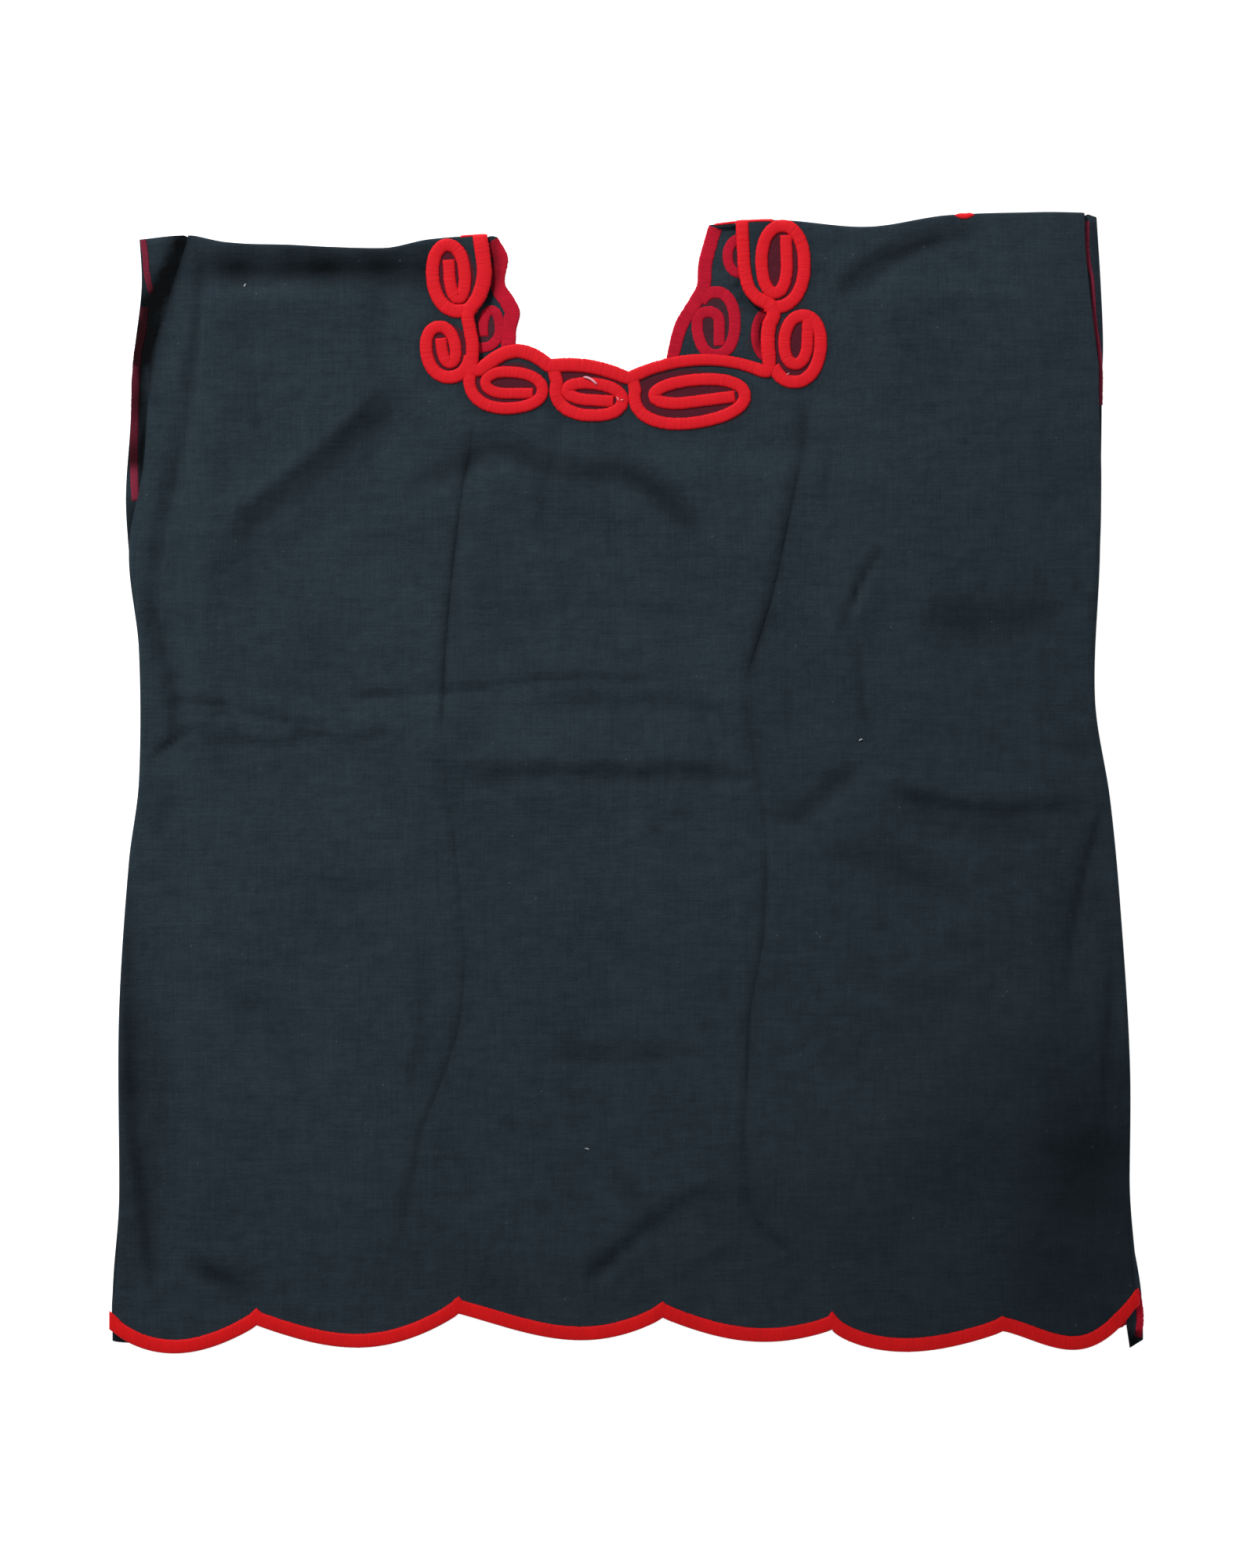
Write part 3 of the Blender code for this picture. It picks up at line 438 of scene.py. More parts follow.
class TopCloth(bpy.types.PropertyGroup):
    """Sizes and colours of the cloth."""

    thickness: length_property("Cloth thickness", "Thickness of the cotton", 0.0007)
    rest_height: length_property(
        "Front height", "Height of the front where it lies flat on the back", 0.004)
    billow: length_property("Billow", "How far the front stands off the back", 0.002)
    roll: length_property("Edge roll", "Width over which the sides roll under", 0.004)
    crease_depth: number_property(
        "Crease depth", "Scale of all creases", 1.8, subtype="FACTOR")
    # Painted shade: how far the cloth's colour is darkened in the troughs of creases and along
    # pressed lines
    crease_painted_shade: number_property(
        "Crease tint", "How dark a trough is for its depth", 0.19, subtype="FACTOR")
    pressed_painted_shade: number_property(
        "Pressed tint", "The same along a sharply pressed line", 0.36, subtype="FACTOR")
    colour: colour_property("Cotton", "Colour of the cloth", (0.0143, 0.0222, 0.0294))
    fuzz: colour_property("Red fuzz", "Cloth between the rows of stitches, full of red ends",
                          (0.080, 0.0105, 0.0190))
    light_yarn: colour_property("Light yarn", "Colour of its lighter yarns",
                                (0.0276, 0.0408, 0.0520))


class TopStitching(bpy.types.PropertyGroup):
    """Sizes and colours of the embroidery."""

    stitch: length_property("Stitch", "Width of one stitch along a line", 0.0009)
    height: length_property("Scroll height", "Height of the satin scrolls", 0.00125)
    neck_height: length_property("Neck line height", "Height of the line round the neck",
                                 0.0015)
    wrong_height: length_property("Wrong side height", "Height of the wrong-side lines",
                                  0.0006)
    band_width: length_property("Hem band width", "Width of the band along the hem", 0.0084)
    satin: colour_property("Satin", "Colour of the satin thread", (0.66, 0.0100, 0.0180))
    band: colour_property("Hem thread", "Colour of the hem thread", (0.70, 0.0085, 0.0105))
    wrong_side: colour_property("Wrong side", "Colour of the wrong side of the stitching",
                                (0.46, 0.0085, 0.0270))
    plum: colour_property("Armhole thread", "Colour of the thread along the armholes",
                          (0.215, 0.0230, 0.0480))


class TopStudio(bpy.types.PropertyGroup):
    """Camera, light and floor."""

    picture_height: length_property(
        "Picture height", "Height of the floor that the picture takes in", 0.94)
    lens: number_property("Lens", "Focal length of the camera in millimetres", 85.0)
    key_power: number_property(
        "Key light", "Power of the lamp", 585.0, subtype="POWER", unit="POWER")
    key_size: length_property("Lamp size", "Radius of the lamp's soft source", 0.25)
    key_angle: number_property("Lamp angle", "Width of the lamp's beam", math.radians(44.5),
                               subtype="ANGLE", unit="ROTATION")
    surround: number_property("Surround", "Brightness of the white room", 0.43)
    table_glow: number_property("Table glow", "Brightness of the lit white table", 0.75)


class Value:
    """A shader value on which arithmetic adds Math nodes."""

    def __init__(self, paint, socket):
        self.paint = paint
        self.socket = socket

    def worked(self, operation, first, second):
        return self.paint.node("ShaderNodeMath", {"operation": operation},
                               {0: first, 1: second})

    def __add__(self, other):
        return self.worked("ADD", self, other)

    def __sub__(self, other):
        return self.worked("SUBTRACT", self, other)

    def __rsub__(self, other):
        return self.worked("SUBTRACT", other, self)

    def __mul__(self, other):
        return self.worked("MULTIPLY", self, other)

    def below(self, other):
        return self.worked("LESS_THAN", self, other)

    __radd__ = __add__
    __rmul__ = __mul__


class Paint:
    """A material whose nodes are added one by one."""

    def __init__(self, name):
        self.material = bpy.data.materials.new(name)
        self.material.use_nodes = True
        self.tree = self.material.node_tree
        self.shader = self.tree.nodes["Principled BSDF"]

    def node(self, kind, settings=None, sockets=None, output=0):
        """Add a node, set it up, fill its sockets and return one of its outputs."""
        made = self.tree.nodes.new(kind)
        for key, setting in (settings or {}).items():
            if key == "stops":
                for element, (place, shade) in zip(made.color_ramp.elements, setting):
                    element.position = place
                    element.color = (shade, shade, shade, 1.0)
            else:
                setattr(made, key, setting)
        for key, value in (sockets or {}).items():
            if isinstance(value, Value):
                self.tree.links.new(value.socket, made.inputs[key])
            else:
                made.inputs[key].default_value = value
        return Value(self, made.outputs[output])

    def place(self, scale, turn=0.0):
        """Object coordinates with a scale along each axis."""
        where = self.node("ShaderNodeTexCoord", output="Object")
        return self.node("ShaderNodeMapping", {}, {
            "Vector": where, "Scale": scale, "Rotation": (0.0, 0.0, turn)})

    def noise(self, where, scale, detail=2.0, roughness=0.5):
        return self.node("ShaderNodeTexNoise", {}, {
            "Vector": where, "Scale": scale, "Detail": detail, "Roughness": roughness})

    def ramp(self, value, low, high):
        """Stretch a value so that it runs from 0 at low to 1 at high."""
        return self.node("ShaderNodeValToRGB", {"stops": ((low, 0.0), (high, 1.0))},
                         {"Fac": value})

    def mix(self, share, first, second):
        """Mix two colours."""
        colours = [value if isinstance(value, Value) else (*value, 1.0)
                   for value in (first, second)]
        return self.node("ShaderNodeMix", {"data_type": "RGBA"},
                         {0: share, 6: colours[0], 7: colours[1]}, output=2)

    def shaded(self, colour):
        """Paint shade into a colour: darken it towards black as far as the piece's painted shade
        mark says.
        """
        shade = self.node("ShaderNodeAttribute", {"attribute_name": "shade"}, output="Fac")
        return self.mix(shade, colour, (0.001, 0.001, 0.001))

    def bump(self, height, distance, strength):
        return self.node("ShaderNodeBump", {}, {
            "Height": height, "Distance": distance, "Strength": strength})

    def finish(self, **sockets):
        """Fill the sockets of the surface shader, named with underscores for spaces."""
        for key, value in sockets.items():
            socket = self.shader.inputs[key.replace("_", " ")]
            if isinstance(value, Value):
                self.tree.links.new(value.socket, socket)
            else:
                socket.default_value = value
        return self.material


def cotton_paint(cloth):
    """Plain-woven dark slate cotton with uneven yarns, neps and a little fuzz."""
    if "slate cotton" in bpy.data.materials:
        return bpy.data.materials["slate cotton"]
    paint = Paint("slate cotton")
    warp = paint.noise(paint.place((900.0, 45.0, 45.0)), 1.0, 2.0, 0.6)
    weft = paint.noise(paint.place((38.0, 820.0, 38.0)), 1.0, 2.0, 0.6)
    crinkle = paint.noise(paint.place((55.0, 95.0, 60.0)), 1.0, 5.0, 0.6)
    grain = paint.noise(paint.place((1.0, 1.0, 1.0)), 900.0, 2.0, 0.6)
    wear = paint.noise(paint.place((1.0, 1.0, 1.0)), 14.0, 4.0, 0.6)
    blotch = paint.noise(paint.place((1.0, 1.0, 1.0)), 120.0, 3.0, 0.6)
    neps = paint.node("ShaderNodeTexVoronoi", {}, {
        "Vector": paint.place((1.0, 1.0, 1.0)), "Scale": 110.0})
    nep = neps.below(0.055) * paint.ramp(blotch, 0.5, 0.62)
    weave = warp * 0.3 + weft * 0.3 + grain * 0.4
    light = paint.ramp(weave * 0.54 + wear * 0.16 + blotch * 0.18 + crinkle * 0.12, 0.38, 0.62)
    yarn = paint.mix(light, tuple(cloth.colour), tuple(cloth.light_yarn))
    fuzz = paint.node("ShaderNodeAttribute", {"attribute_name": "red_fuzz"}, output="Fac")
    # Painted shade: the yarn's colour is darkened where the piece's shade mark says
    ground = paint.mix(fuzz, paint.shaded(yarn), tuple(cloth.fuzz))
    colour = paint.mix(nep * 0.5, ground, (0.11, 0.125, 0.135))
    relief = paint.bump(weave * 0.3 + nep * 0.1 + crinkle * 1.6, 0.0016, 0.5)
    return paint.finish(
        Base_Color=colour, Roughness=0.9 - light * 0.1, Specular_IOR_Level=0.04,
        Normal=relief)


def thread_paint(thread):
    """Stitched thread: fine ends side by side across the line, each a little different."""
    if thread.name in bpy.data.materials:
        return bpy.data.materials[thread.name]
    colour = tuple(getattr(bpy.context.scene.top_stitching, thread.colour))
    paint = Paint(thread.name)
    along = paint.node("ShaderNodeUVMap", {"uv_map": "stitches"})
    ends = paint.noise(paint.node("ShaderNodeMapping", {}, {
        "Vector": along, "Scale": (0.9, 26.0, 1.0)}), 1.0, 2.0, 0.7)
    plies = paint.noise(paint.node("ShaderNodeMapping", {}, {
        "Vector": along, "Scale": (1.6, 90.0, 1.0)}), 1.0, 1.0, 0.6)
    wear = paint.noise(paint.place((1.0, 1.0, 1.0)), 60.0, 2.0, 0.5)
    dark = tuple(part * (1.0 - thread.streak) for part in colour)
    bright = tuple(min(part * (1.0 + thread.streak * 0.7), 1.0) for part in colour)
    shade = paint.ramp(ends * 0.55 + plies * 0.25 + wear * 0.2, 0.34, 0.66)
    relief = paint.bump(ends * 0.6 + plies * 0.4, 0.0003, 0.5)
    # Painted shade: the thread's colour is darkened where the piece's shade mark says
    return paint.finish(
        Base_Color=paint.shaded(paint.mix(shade, dark, bright)),
        Roughness=thread.dull - shade * 0.1, Specular_IOR_Level=thread.gloss, Normal=relief)


def fuzz_paint(name, colour):
    """Loose pale thread."""
    paint = Paint(name)
    twist = paint.noise(paint.place((1.0, 1.0, 1.0)), 1500.0, 2.0, 0.5)
    shade = paint.ramp(twist, 0.35, 0.65)
    dark = tuple(part * 0.8 for part in colour)
    return paint.finish(Base_Color=paint.mix(shade, dark, colour), Roughness=0.8,
                        Specular_IOR_Level=0.2, Normal=paint.bump(twist, 0.0002, 0.5))


def soft_step(value):
    """Rise softly from 0 to 1 as the value goes from 0 to 1."""
    share = np.clip(value, 0.0, 1.0)
    return share * share * (3.0 - 2.0 * share)


def smooth_curve(knots, values, at):
    """Read a smooth curve through knots and values, held level past its ends."""
    knots = np.asarray(knots, float)
    values = np.asarray(values, float)
    at = np.clip(np.asarray(at, float), knots[0], knots[-1])
    here = np.clip(np.searchsorted(knots, at, side="right") - 1, 0, len(knots) - 2)
    after = here + 1
    before = np.maximum(here - 1, 0)
    beyond = np.minimum(after + 1, len(knots) - 1)
    span = knots[after] - knots[here]
    share = (at - knots[here]) / span
    slope_1 = (values[after] - values[before]) / (knots[after] - knots[before]) * span
    slope_2 = (values[beyond] - values[here]) / (knots[beyond] - knots[here]) * span
    square = share * share
    cube = square * share
    return (values[here] * (2 * cube - 3 * square + 1) + slope_1 * (cube - 2 * square + share)
            + values[after] * (3 * square - 2 * cube) + slope_2 * (cube - square))


def read_edge(points, y):
    """Place of an edge at heights along Y."""
    return smooth_curve([p.y for p in points], [p.x for p in points], y)


def read_shoulder(x):
    """Height along Y of the shoulder fold at each x."""
    left = smooth_curve([p.x for p in LEFT_SHOULDER], [p.y for p in LEFT_SHOULDER], x)
    right = smooth_curve([p.x for p in RIGHT_SHOULDER], [p.y for p in RIGHT_SHOULDER], x)
    return np.where(np.asarray(x) < 0.0, left, right)


def read_scallops(scallops, x):
    """Height along Y of a scalloped edge at each x."""
    x = np.asarray(x, float)
    starts = np.array([s.x for s in scallops])
    here = np.clip(np.searchsorted(starts, x, side="right") - 1, 0, len(scallops) - 2)
    level = np.array([s.y for s in scallops])
    drop = np.array([s.drop for s in scallops])
    bend = np.log(0.5) / np.log([s.low_at for s in scallops])
    share = np.clip((x - starts[here]) / (starts[here + 1] - starts[here]), 0.0, 1.0)
    hollow = np.sin(np.pi * share ** bend[here]) ** 0.85
    return level[here] + (level[here + 1] - level[here]) * share - drop[here] * hollow


def column_x(scallops, counts, column, first=0):
    """Place of a column along scallops that have so many columns each."""
    return np.interp(column, first + np.cumsum((0,) + counts), [s.x for s in scallops])


def distance_to_path(x, y, path):
    """Distance to a path, and how far along it and from its nearer end that is."""
    corners = np.array(path, float)
    runs = np.hypot(*(corners[1:] - corners[:-1]).T)
    starts = np.concatenate(([0.0], np.cumsum(runs)))
    nearest = np.full(np.shape(x), 1e9)
    along = np.zeros(np.shape(x))
    for k, run in enumerate(runs):
        way = (corners[k + 1] - corners[k]) / run
        ahead = np.clip((x - corners[k, 0]) * way[0] + (y - corners[k, 1]) * way[1], 0.0, run)
        away = np.hypot(x - corners[k, 0] - way[0] * ahead, y - corners[k, 1] - way[1] * ahead)
        closer = away < nearest
        nearest = np.where(closer, away, nearest)
        along = np.where(closer, starts[k] + ahead, along)
    return nearest, along, starts[-1]


def smooth_path(path, step):
    """Points a step apart along a smooth curve through the corners of a path."""
    corners = np.array(path, float)
    marks = np.concatenate(([0.0], np.cumsum(np.hypot(*(corners[1:] - corners[:-1]).T))))
    count = max(int(round(marks[-1] / step)), len(path))
    at = np.linspace(0.0, marks[-1], count + 1)
    return np.column_stack([smooth_curve(marks, corners[:, k], at) for k in (0, 1)])


def wander(x, y, cell, seed):
    """Smooth random field between -1 and 1 with cells of a given size."""
    lattice = np.random.default_rng(seed).uniform(-1.0, 1.0, (128, 128))
    across = np.asarray(x) / cell + 64.0
    up = np.asarray(y) / cell + 64.0
    column = np.clip(np.floor(across).astype(int), 0, 126)
    row = np.clip(np.floor(up).astype(int), 0, 126)
    u = soft_step(across - column)
    v = soft_step(up - row)
    low = lattice[column, row] * (1 - u) + lattice[column + 1, row] * u
    high = lattice[column, row + 1] * (1 - u) + lattice[column + 1, row + 1] * u
    return low * (1 - v) + high * v


def crease_relief(creases, x, y):
    """Height that the creases add, uneven along each of them."""
    relief = np.zeros(np.shape(x))
    mean, varies, length, seed = UNEVEN
    for number, crease in enumerate(creases):
        path = smooth_path(crease.path, 8.0)
        reach = crease.width * REACH[crease.form]
        near = ((x > path[:, 0].min() - reach) & (x < path[:, 0].max() + reach)
                & (y > path[:, 1].min() - reach) & (y < path[:, 1].max() + reach))
        if not near.any():
            continue
        away, along, whole = distance_to_path(x[near], y[near], path)
        fade = min(crease.fade, whole / 2)
        strength = (soft_step(along / fade + FADE_START)
                    * soft_step((whole - along) / fade + FADE_START))
        strength *= mean + varies * wander(along, along * 0.0, length, seed + number)
        if crease.form == "pressed":
            profile = np.exp(-away / crease.width)
        else:
            profile = np.exp(-(away / crease.width) ** 2)
        relief[near] += crease.depth * strength * profile
    return relief


def within(at, low, high):
    """Share that rises from 0 past a low end and falls to 0 at a high end."""
    return (soft_step((at - low[0]) / low[1])
            * soft_step((high[0] - at) / high[1]))


def side_roll(x, y, roll):
    """Height share across the rolled side edges: 0 at the edge, 1 inside them."""
    edge = np.minimum(x - read_edge(LEFT_SIDE, y), read_edge(RIGHT_SIDE, y) - x)
    inside = np.clip(edge / roll, 0.0, 1.0)
    closed = within(y, SEAM_FOOT, SEAM_TOP)
    return 1.0 - closed * (1.0 - np.sqrt(1.0 - (1.0 - inside) ** 2))


def front_height(x, y, cloth):
    """Height of the upper side of the front, in millimetres."""
    rest = cloth.rest_height / MM
    folds = sum(
        f.rise * np.exp(-(distance_to_path(x, y, ((f.x0, f.y0), (f.x1, f.y1)))[0]
                          / f.half_width) ** 2) for f in FOLDS)
    edge = within(y, SWELL_HEM, SWELL_SHOULDER)
    sides = within(x, SWELL_LEFT, SWELL_RIGHT)
    beside_neck = soft_step((np.abs(x - NECK_CENTRE) - NECK_CLEAR[0]) / NECK_CLEAR[1])
    below_neck = soft_step((BELOW_NECK[0] - y) / BELOW_NECK[1])
    clear = np.maximum(beside_neck, below_neck)
    rise = (cloth.billow / MM + folds) * edge * sides * clear
    ripple = sum(height * wander(x, y, cell, seed) for height, cell, seed in RIPPLES)
    ripple *= 0.25 + 0.75 * clear
    creases = crease_relief(CREASES, x, y) * cloth.crease_depth
    height = rest + rise + np.maximum(ripple + creases, -(rest - LEAST_GAP) - rise)
    middle = rest / 2
    return middle + (height - middle) * side_roll(x, y, cloth.roll / MM)


def back_under(x, y, cloth):
    """Height of the under side of the back, which curls up into the side seams."""
    middle = cloth.rest_height / MM / 2
    lift = np.maximum(crease_relief(BACK_CREASES, x, y), 0.0)
    return lift + (middle - lift) * (1.0 - side_roll(x, y, cloth.roll / MM))


def on_front(points, cloth):
    """Places and outward directions on the front; past the fold they wrap the shoulder."""
    x = points[..., 0]
    fold = read_shoulder(x) - cloth.rest_height / MM / 2
    y = np.minimum(points[..., 1], fold)
    height = front_height(x, y, cloth)
    nudge = 0.6
    slope_x = (front_height(x + nudge, y, cloth) - height) / nudge
    slope_y = (height - front_height(x, y - nudge, cloth)) / nudge
    radius = np.maximum(front_height(x, fold, cloth) / 2, 0.5)
    turn = np.clip((points[..., 1] - fold) / radius, 0.0, math.pi)
    wrapped = points[..., 1] > fold
    place = np.stack([x, y + radius * np.sin(turn),
                      np.where(wrapped, radius * (1.0 + np.cos(turn)), height)], axis=-1)
    slope_y = np.where(wrapped, 0.0, slope_y)
    slope_x = np.where(wrapped, 0.0, slope_x)
    out = np.stack([-slope_x, -slope_y * np.cos(turn) + np.sin(turn), np.cos(turn)], axis=-1)
    return place, out / np.linalg.norm(out, axis=-1, keepdims=True)


def on_back(points, cloth):
    """Places and upward directions on the inner side of the back."""
    x, y = points[..., 0], points[..., 1]
    height = back_under(x, y, cloth) + cloth.thickness / MM
    up = np.zeros(x.shape + (3,))
    up[..., 2] = 1.0
    return np.stack([x, y, height], axis=-1), up


def column_marks(steps, close_steps):
    """Columns of a fine grid, closer along the sides and the storage creases."""
    marks = []
    for unit in range(COLUMNS):
        opens = unit in (0, BLOCK, 2 * BLOCK)
        closes = unit in (BLOCK - 1, 2 * BLOCK - 1, COLUMNS - 1)
        shares = np.linspace(0.0, 1.0, (close_steps if opens or closes else steps) + 1)[:-1]
        if opens:
            shares = shares ** CROWDING
        if closes:
            shares = 1.0 - (1.0 - shares) ** CROWDING
        marks.extend(unit + shares)
    return np.array(marks + [COLUMNS])


def between_lines(lines, column, y):
    """Place of columns at heights, between the side edges and the two inner lines."""
    block = np.minimum(column // BLOCK, 2).astype(int)
    places = np.array([read_edge(line, y) for line in lines])
    left = np.take_along_axis(places, block[None], axis=0)[0]
    right = np.take_along_axis(places, block[None] + 1, axis=0)[0]
    return left + (right - left) * (column - block * BLOCK) / BLOCK


def panel_plan(panel, columns, upper, lower):
    """Flat places of one panel by column and row, and which of them hold cloth."""
    sides, necks, bays = panel.sides, panel.necks, panel.bays
    beside = (sides[0], *necks, sides[1])
    middle = (columns >= BLOCK) & (columns <= 2 * BLOCK)
    level_y = np.where(columns < BLOCK, bays[0].y, bays[-1].y)
    bay_x = column_x(bays, BAY_COLUMNS, columns, BLOCK)
    level_y = np.where(middle, read_scallops(bays, bay_x), level_y)
    level_x = np.where(middle, bay_x, between_lines(beside, columns, level_y))
    low_x = column_x(panel.hem, panel.hem_columns, columns)
    low_y = read_scallops(panel.hem, low_x)

    share = lower[None, :]
    column = np.repeat(columns[:, None], share.shape[1], axis=1)
    y = level_y[:, None] + (low_y - level_y)[:, None] * share
    x = between_lines((sides[0], *panel.lines, sides[1]), column, y)
    x += (level_x[:, None] - x) * (1.0 - soft_step(share / NECK_BLEND))
    early = HEM_EARLY[panel is FRONT]
    start = HEM_BLEND - early * np.minimum(np.minimum(columns, COLUMNS - columns), 1.0)[:, None]
    x += (low_x[:, None] - x) * soft_step((share - start) / (1.0 - start))
    low_part = np.stack([x, y], axis=-1)

    share = upper[None, :]
    column = np.repeat(columns[:, None], share.shape[1], axis=1)
    top_x = between_lines(beside, columns, np.full(columns.shape, ABOVE_SHOULDERS))
    fold = [line[-1].x for line in (FRONT.sides[0], *FRONT.necks, FRONT.sides[1])]
    past = np.where(top_x < 0.0, np.maximum(fold[0] - top_x, top_x - fold[1]),
                    np.maximum(fold[2] - top_x, top_x - fold[3]))
    top_y = read_shoulder(top_x) - rest_height() / 2 * (1.0 - soft_step(past / 2.0))
    y = top_y[:, None] + (level_y - top_y)[:, None] * share
    high_part = np.stack([between_lines(beside, column, y), y], axis=-1)

    plan = np.concatenate([high_part[:, :-1], low_part], axis=1)
    cells = np.ones((len(columns) - 1, plan.shape[1] - 1), bool)
    centre = (columns[:-1] + columns[1:]) / 2
    cells[(centre > BLOCK) & (centre < 2 * BLOCK), :len(upper) - 1] = False
    return plan, cells


def rest_height():
    """Height of the front where it lies flat, in millimetres."""
    return bpy.context.scene.top_cloth.rest_height / MM


def make_mesh(name, points, faces, uv=None, **marks):
    """Mesh object from points in millimetres, with unused points left out."""
    used = np.unique(faces)
    number = np.full(len(points), -1)
    number[used] = np.arange(len(used))
    mesh = bpy.data.meshes.new(name)
    mesh.from_pydata((points[used] * MM).tolist(), [], number[faces].tolist())
    mesh.update()
    mesh.shade_smooth()
    if uv is not None:
        layer = mesh.uv_layers.new(name="stitches")
        corner = np.zeros(len(mesh.loops), int)
        mesh.loops.foreach_get("vertex_index", corner)
        layer.data.foreach_set("uv", uv[used][corner].ravel())
    for mark, share in marks.items():
        layer = mesh.attributes.new(mark, "FLOAT", "POINT")
        layer.data.foreach_set("value", np.clip(share.ravel()[used], 0.0, 0.93))
    thing = bpy.data.objects.new(name, mesh)
    bpy.context.scene.collection.objects.link(thing)
    return thing


def grid_faces(height, cells, turned=False):
    """Faces of a grid of points that are numbered down each column."""
    column, row = np.nonzero(cells)
    first = column * height + row
    quads = np.stack([first, first + 1, first + height + 1, first + height], axis=1)
    return quads[:, ::-1] if turned else quads


def thicken(thing, thickness):
    """Give a sheet its thickness on its inner side."""
    bpy.ops.object.select_all(action="DESELECT")
    bpy.context.view_layer.objects.active = thing
    thing.select_set(True)
    solid = thing.modifiers.new("thickness", "SOLIDIFY")
    solid.thickness = thickness
    solid.offset = -1.0
    solid.use_even_offset = False
    bpy.ops.object.modifier_apply(modifier=solid.name)
    thing.select_set(False)


def dress(thing, material, nodes):
    """Paint a piece, let it ride on the top and stand for its solids."""
    thing.data.materials.append(material)
    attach(thing, "root")
    if nodes:
        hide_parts(*nodes)
    return thing


def satin_strip(name, edge_a, edge_b, surface, height, seed, skirt=0.3, end_height=1.0,
                shades=()):
    """Line of satin stitch between two edges, each stitch a low ridge across it."""
    step = bpy.context.scene.top_stitching.stitch / MM / 2
    centre = (edge_a + edge_b) / 2
    marks = np.concatenate(([0.0], np.cumsum(np.hypot(*(centre[1:] - centre[:-1]).T))))
    count = max(int(round(marks[-1] / step)), 4)
    at = np.linspace(0.0, marks[-1], count + 1)
    a = np.column_stack([np.interp(at, marks, edge_a[:, k]) for k in (0, 1)])
    b = np.column_stack([np.interp(at, marks, edge_b[:, k]) for k in (0, 1)])
    rng = np.random.default_rng(seed)
    stitch = np.arange(count + 1) // 2
    jitter = rng.normal(0.0, 1.0, (3, stitch[-1] + 1))[:, stitch]
    across = (b - a) / np.maximum(np.hypot(*(b - a).T), 1e-6)[:, None]
    a = a - across * (JITTER_END * jitter[0])[:, None]
    b = b + across * (JITTER_END * jitter[1])[:, None]
    full = height * (1.0 + JITTER_HEIGHT * jitter[2])
    full *= np.where(np.arange(count + 1) % 2 == 1, DIP, 1.0)
    from_end = np.minimum(at, marks[-1] - at)
    full *= end_height + (1.0 - end_height) * soft_step(from_end / SINK_LENGTH)
    full *= np.sqrt(1.0 - (1.0 - np.clip(from_end / ROUNDING, 0.0, 1.0)) ** 2) * 0.96 + 0.04
    share = np.array([s for s, h in SECTION])
    level = np.array([h for s, h in SECTION])
    flat = a[:, None] + (b - a)[:, None] * share[None, :, None]
    place, out = surface(flat)
    lift = level * full[:, None]
    lift[:, 0] = -skirt
    lift[:, -1] = -skirt
    points = (place + out * lift[..., None]).reshape(-1, 3)
    points[:, 2] = np.maximum(points[:, 2], 0.0)
    uv = np.stack(np.broadcast_arrays(share[None, :], at[:, None] / 10.0), axis=-1)
    faces = grid_faces(len(SECTION), np.ones((count, len(SECTION) - 1), bool), turned=True)
    # The stitches' shade mark is painted shade, darkening their colour where the given shades lie
    return make_mesh(name, points, faces, uv.reshape(-1, 2).astype(np.float32),
                     shade=crease_relief(shades, flat[..., 0], flat[..., 1]))


def edges_beside(line, widths, left_share=0.5):
    """Two edges beside a line; the inner one is held back where the line turns tightly."""
    ahead = np.gradient(line, axis=0)
    run = np.maximum(np.hypot(*ahead.T), 1e-6)
    ahead /= run[:, None]
    turn = np.gradient(np.unwrap(np.arctan2(ahead[:, 1], ahead[:, 0]))) / run
    turn = np.convolve(np.pad(turn, 1, mode="edge"), (0.25, 0.5, 0.25), mode="valid")
    across = np.column_stack([-ahead[:, 1], ahead[:, 0]])
    left = widths * left_share
    right = widths * (1.0 - left_share)
    left = np.where(turn > 0, np.minimum(left, 0.94 / np.maximum(turn, 1e-6)), left)
    right = np.where(turn < 0, np.minimum(right, 0.94 / np.maximum(-turn, 1e-6)), right)
    return line - across * right[:, None], line + across * left[:, None]


def scroll_line(scroll):
    """Centre line of a scroll: half ovals on alternate sides of its axis, then a straight end."""
    line = []
    for index, reach in enumerate(scroll.reach):
        start, end = scroll.cross[index], scroll.cross[index + 1]
        share = np.linspace(scroll.skip if index == 0 else 0.0, 1.0, OVAL_POINTS + 1)[:-1]
        wave = np.cos(np.pi * share)
        across = (start + end) / 2 + (start - end) / 2 * np.sign(wave) * np.abs(wave) ** OVAL
        line += list(zip(across, reach * np.sin(np.pi * share) ** OVAL))
    closing = -math.copysign(1.0, scroll.reach[-1])
    for part in (0.0, 0.33, 0.66, 1.0):
        line.append((scroll.cross[-1], closing * scroll.run * part))
    middle = sum(scroll.cross[:2]) / 2
    across, up = np.array(line).T
    across = across - middle
    x, y = (across, up) if scroll.upright else (up, across)
    lean = math.radians(scroll.tilt)
    turned = [x * math.cos(lean) - y * math.sin(lean), x * math.sin(lean) + y * math.cos(lean)]
    centre = (middle, scroll.axis) if scroll.upright else (scroll.axis, middle)
    line = np.concatenate([np.reshape(scroll.lead, (-1, 2)), np.column_stack(turned) + centre])
    return smooth_path(line, 0.8)


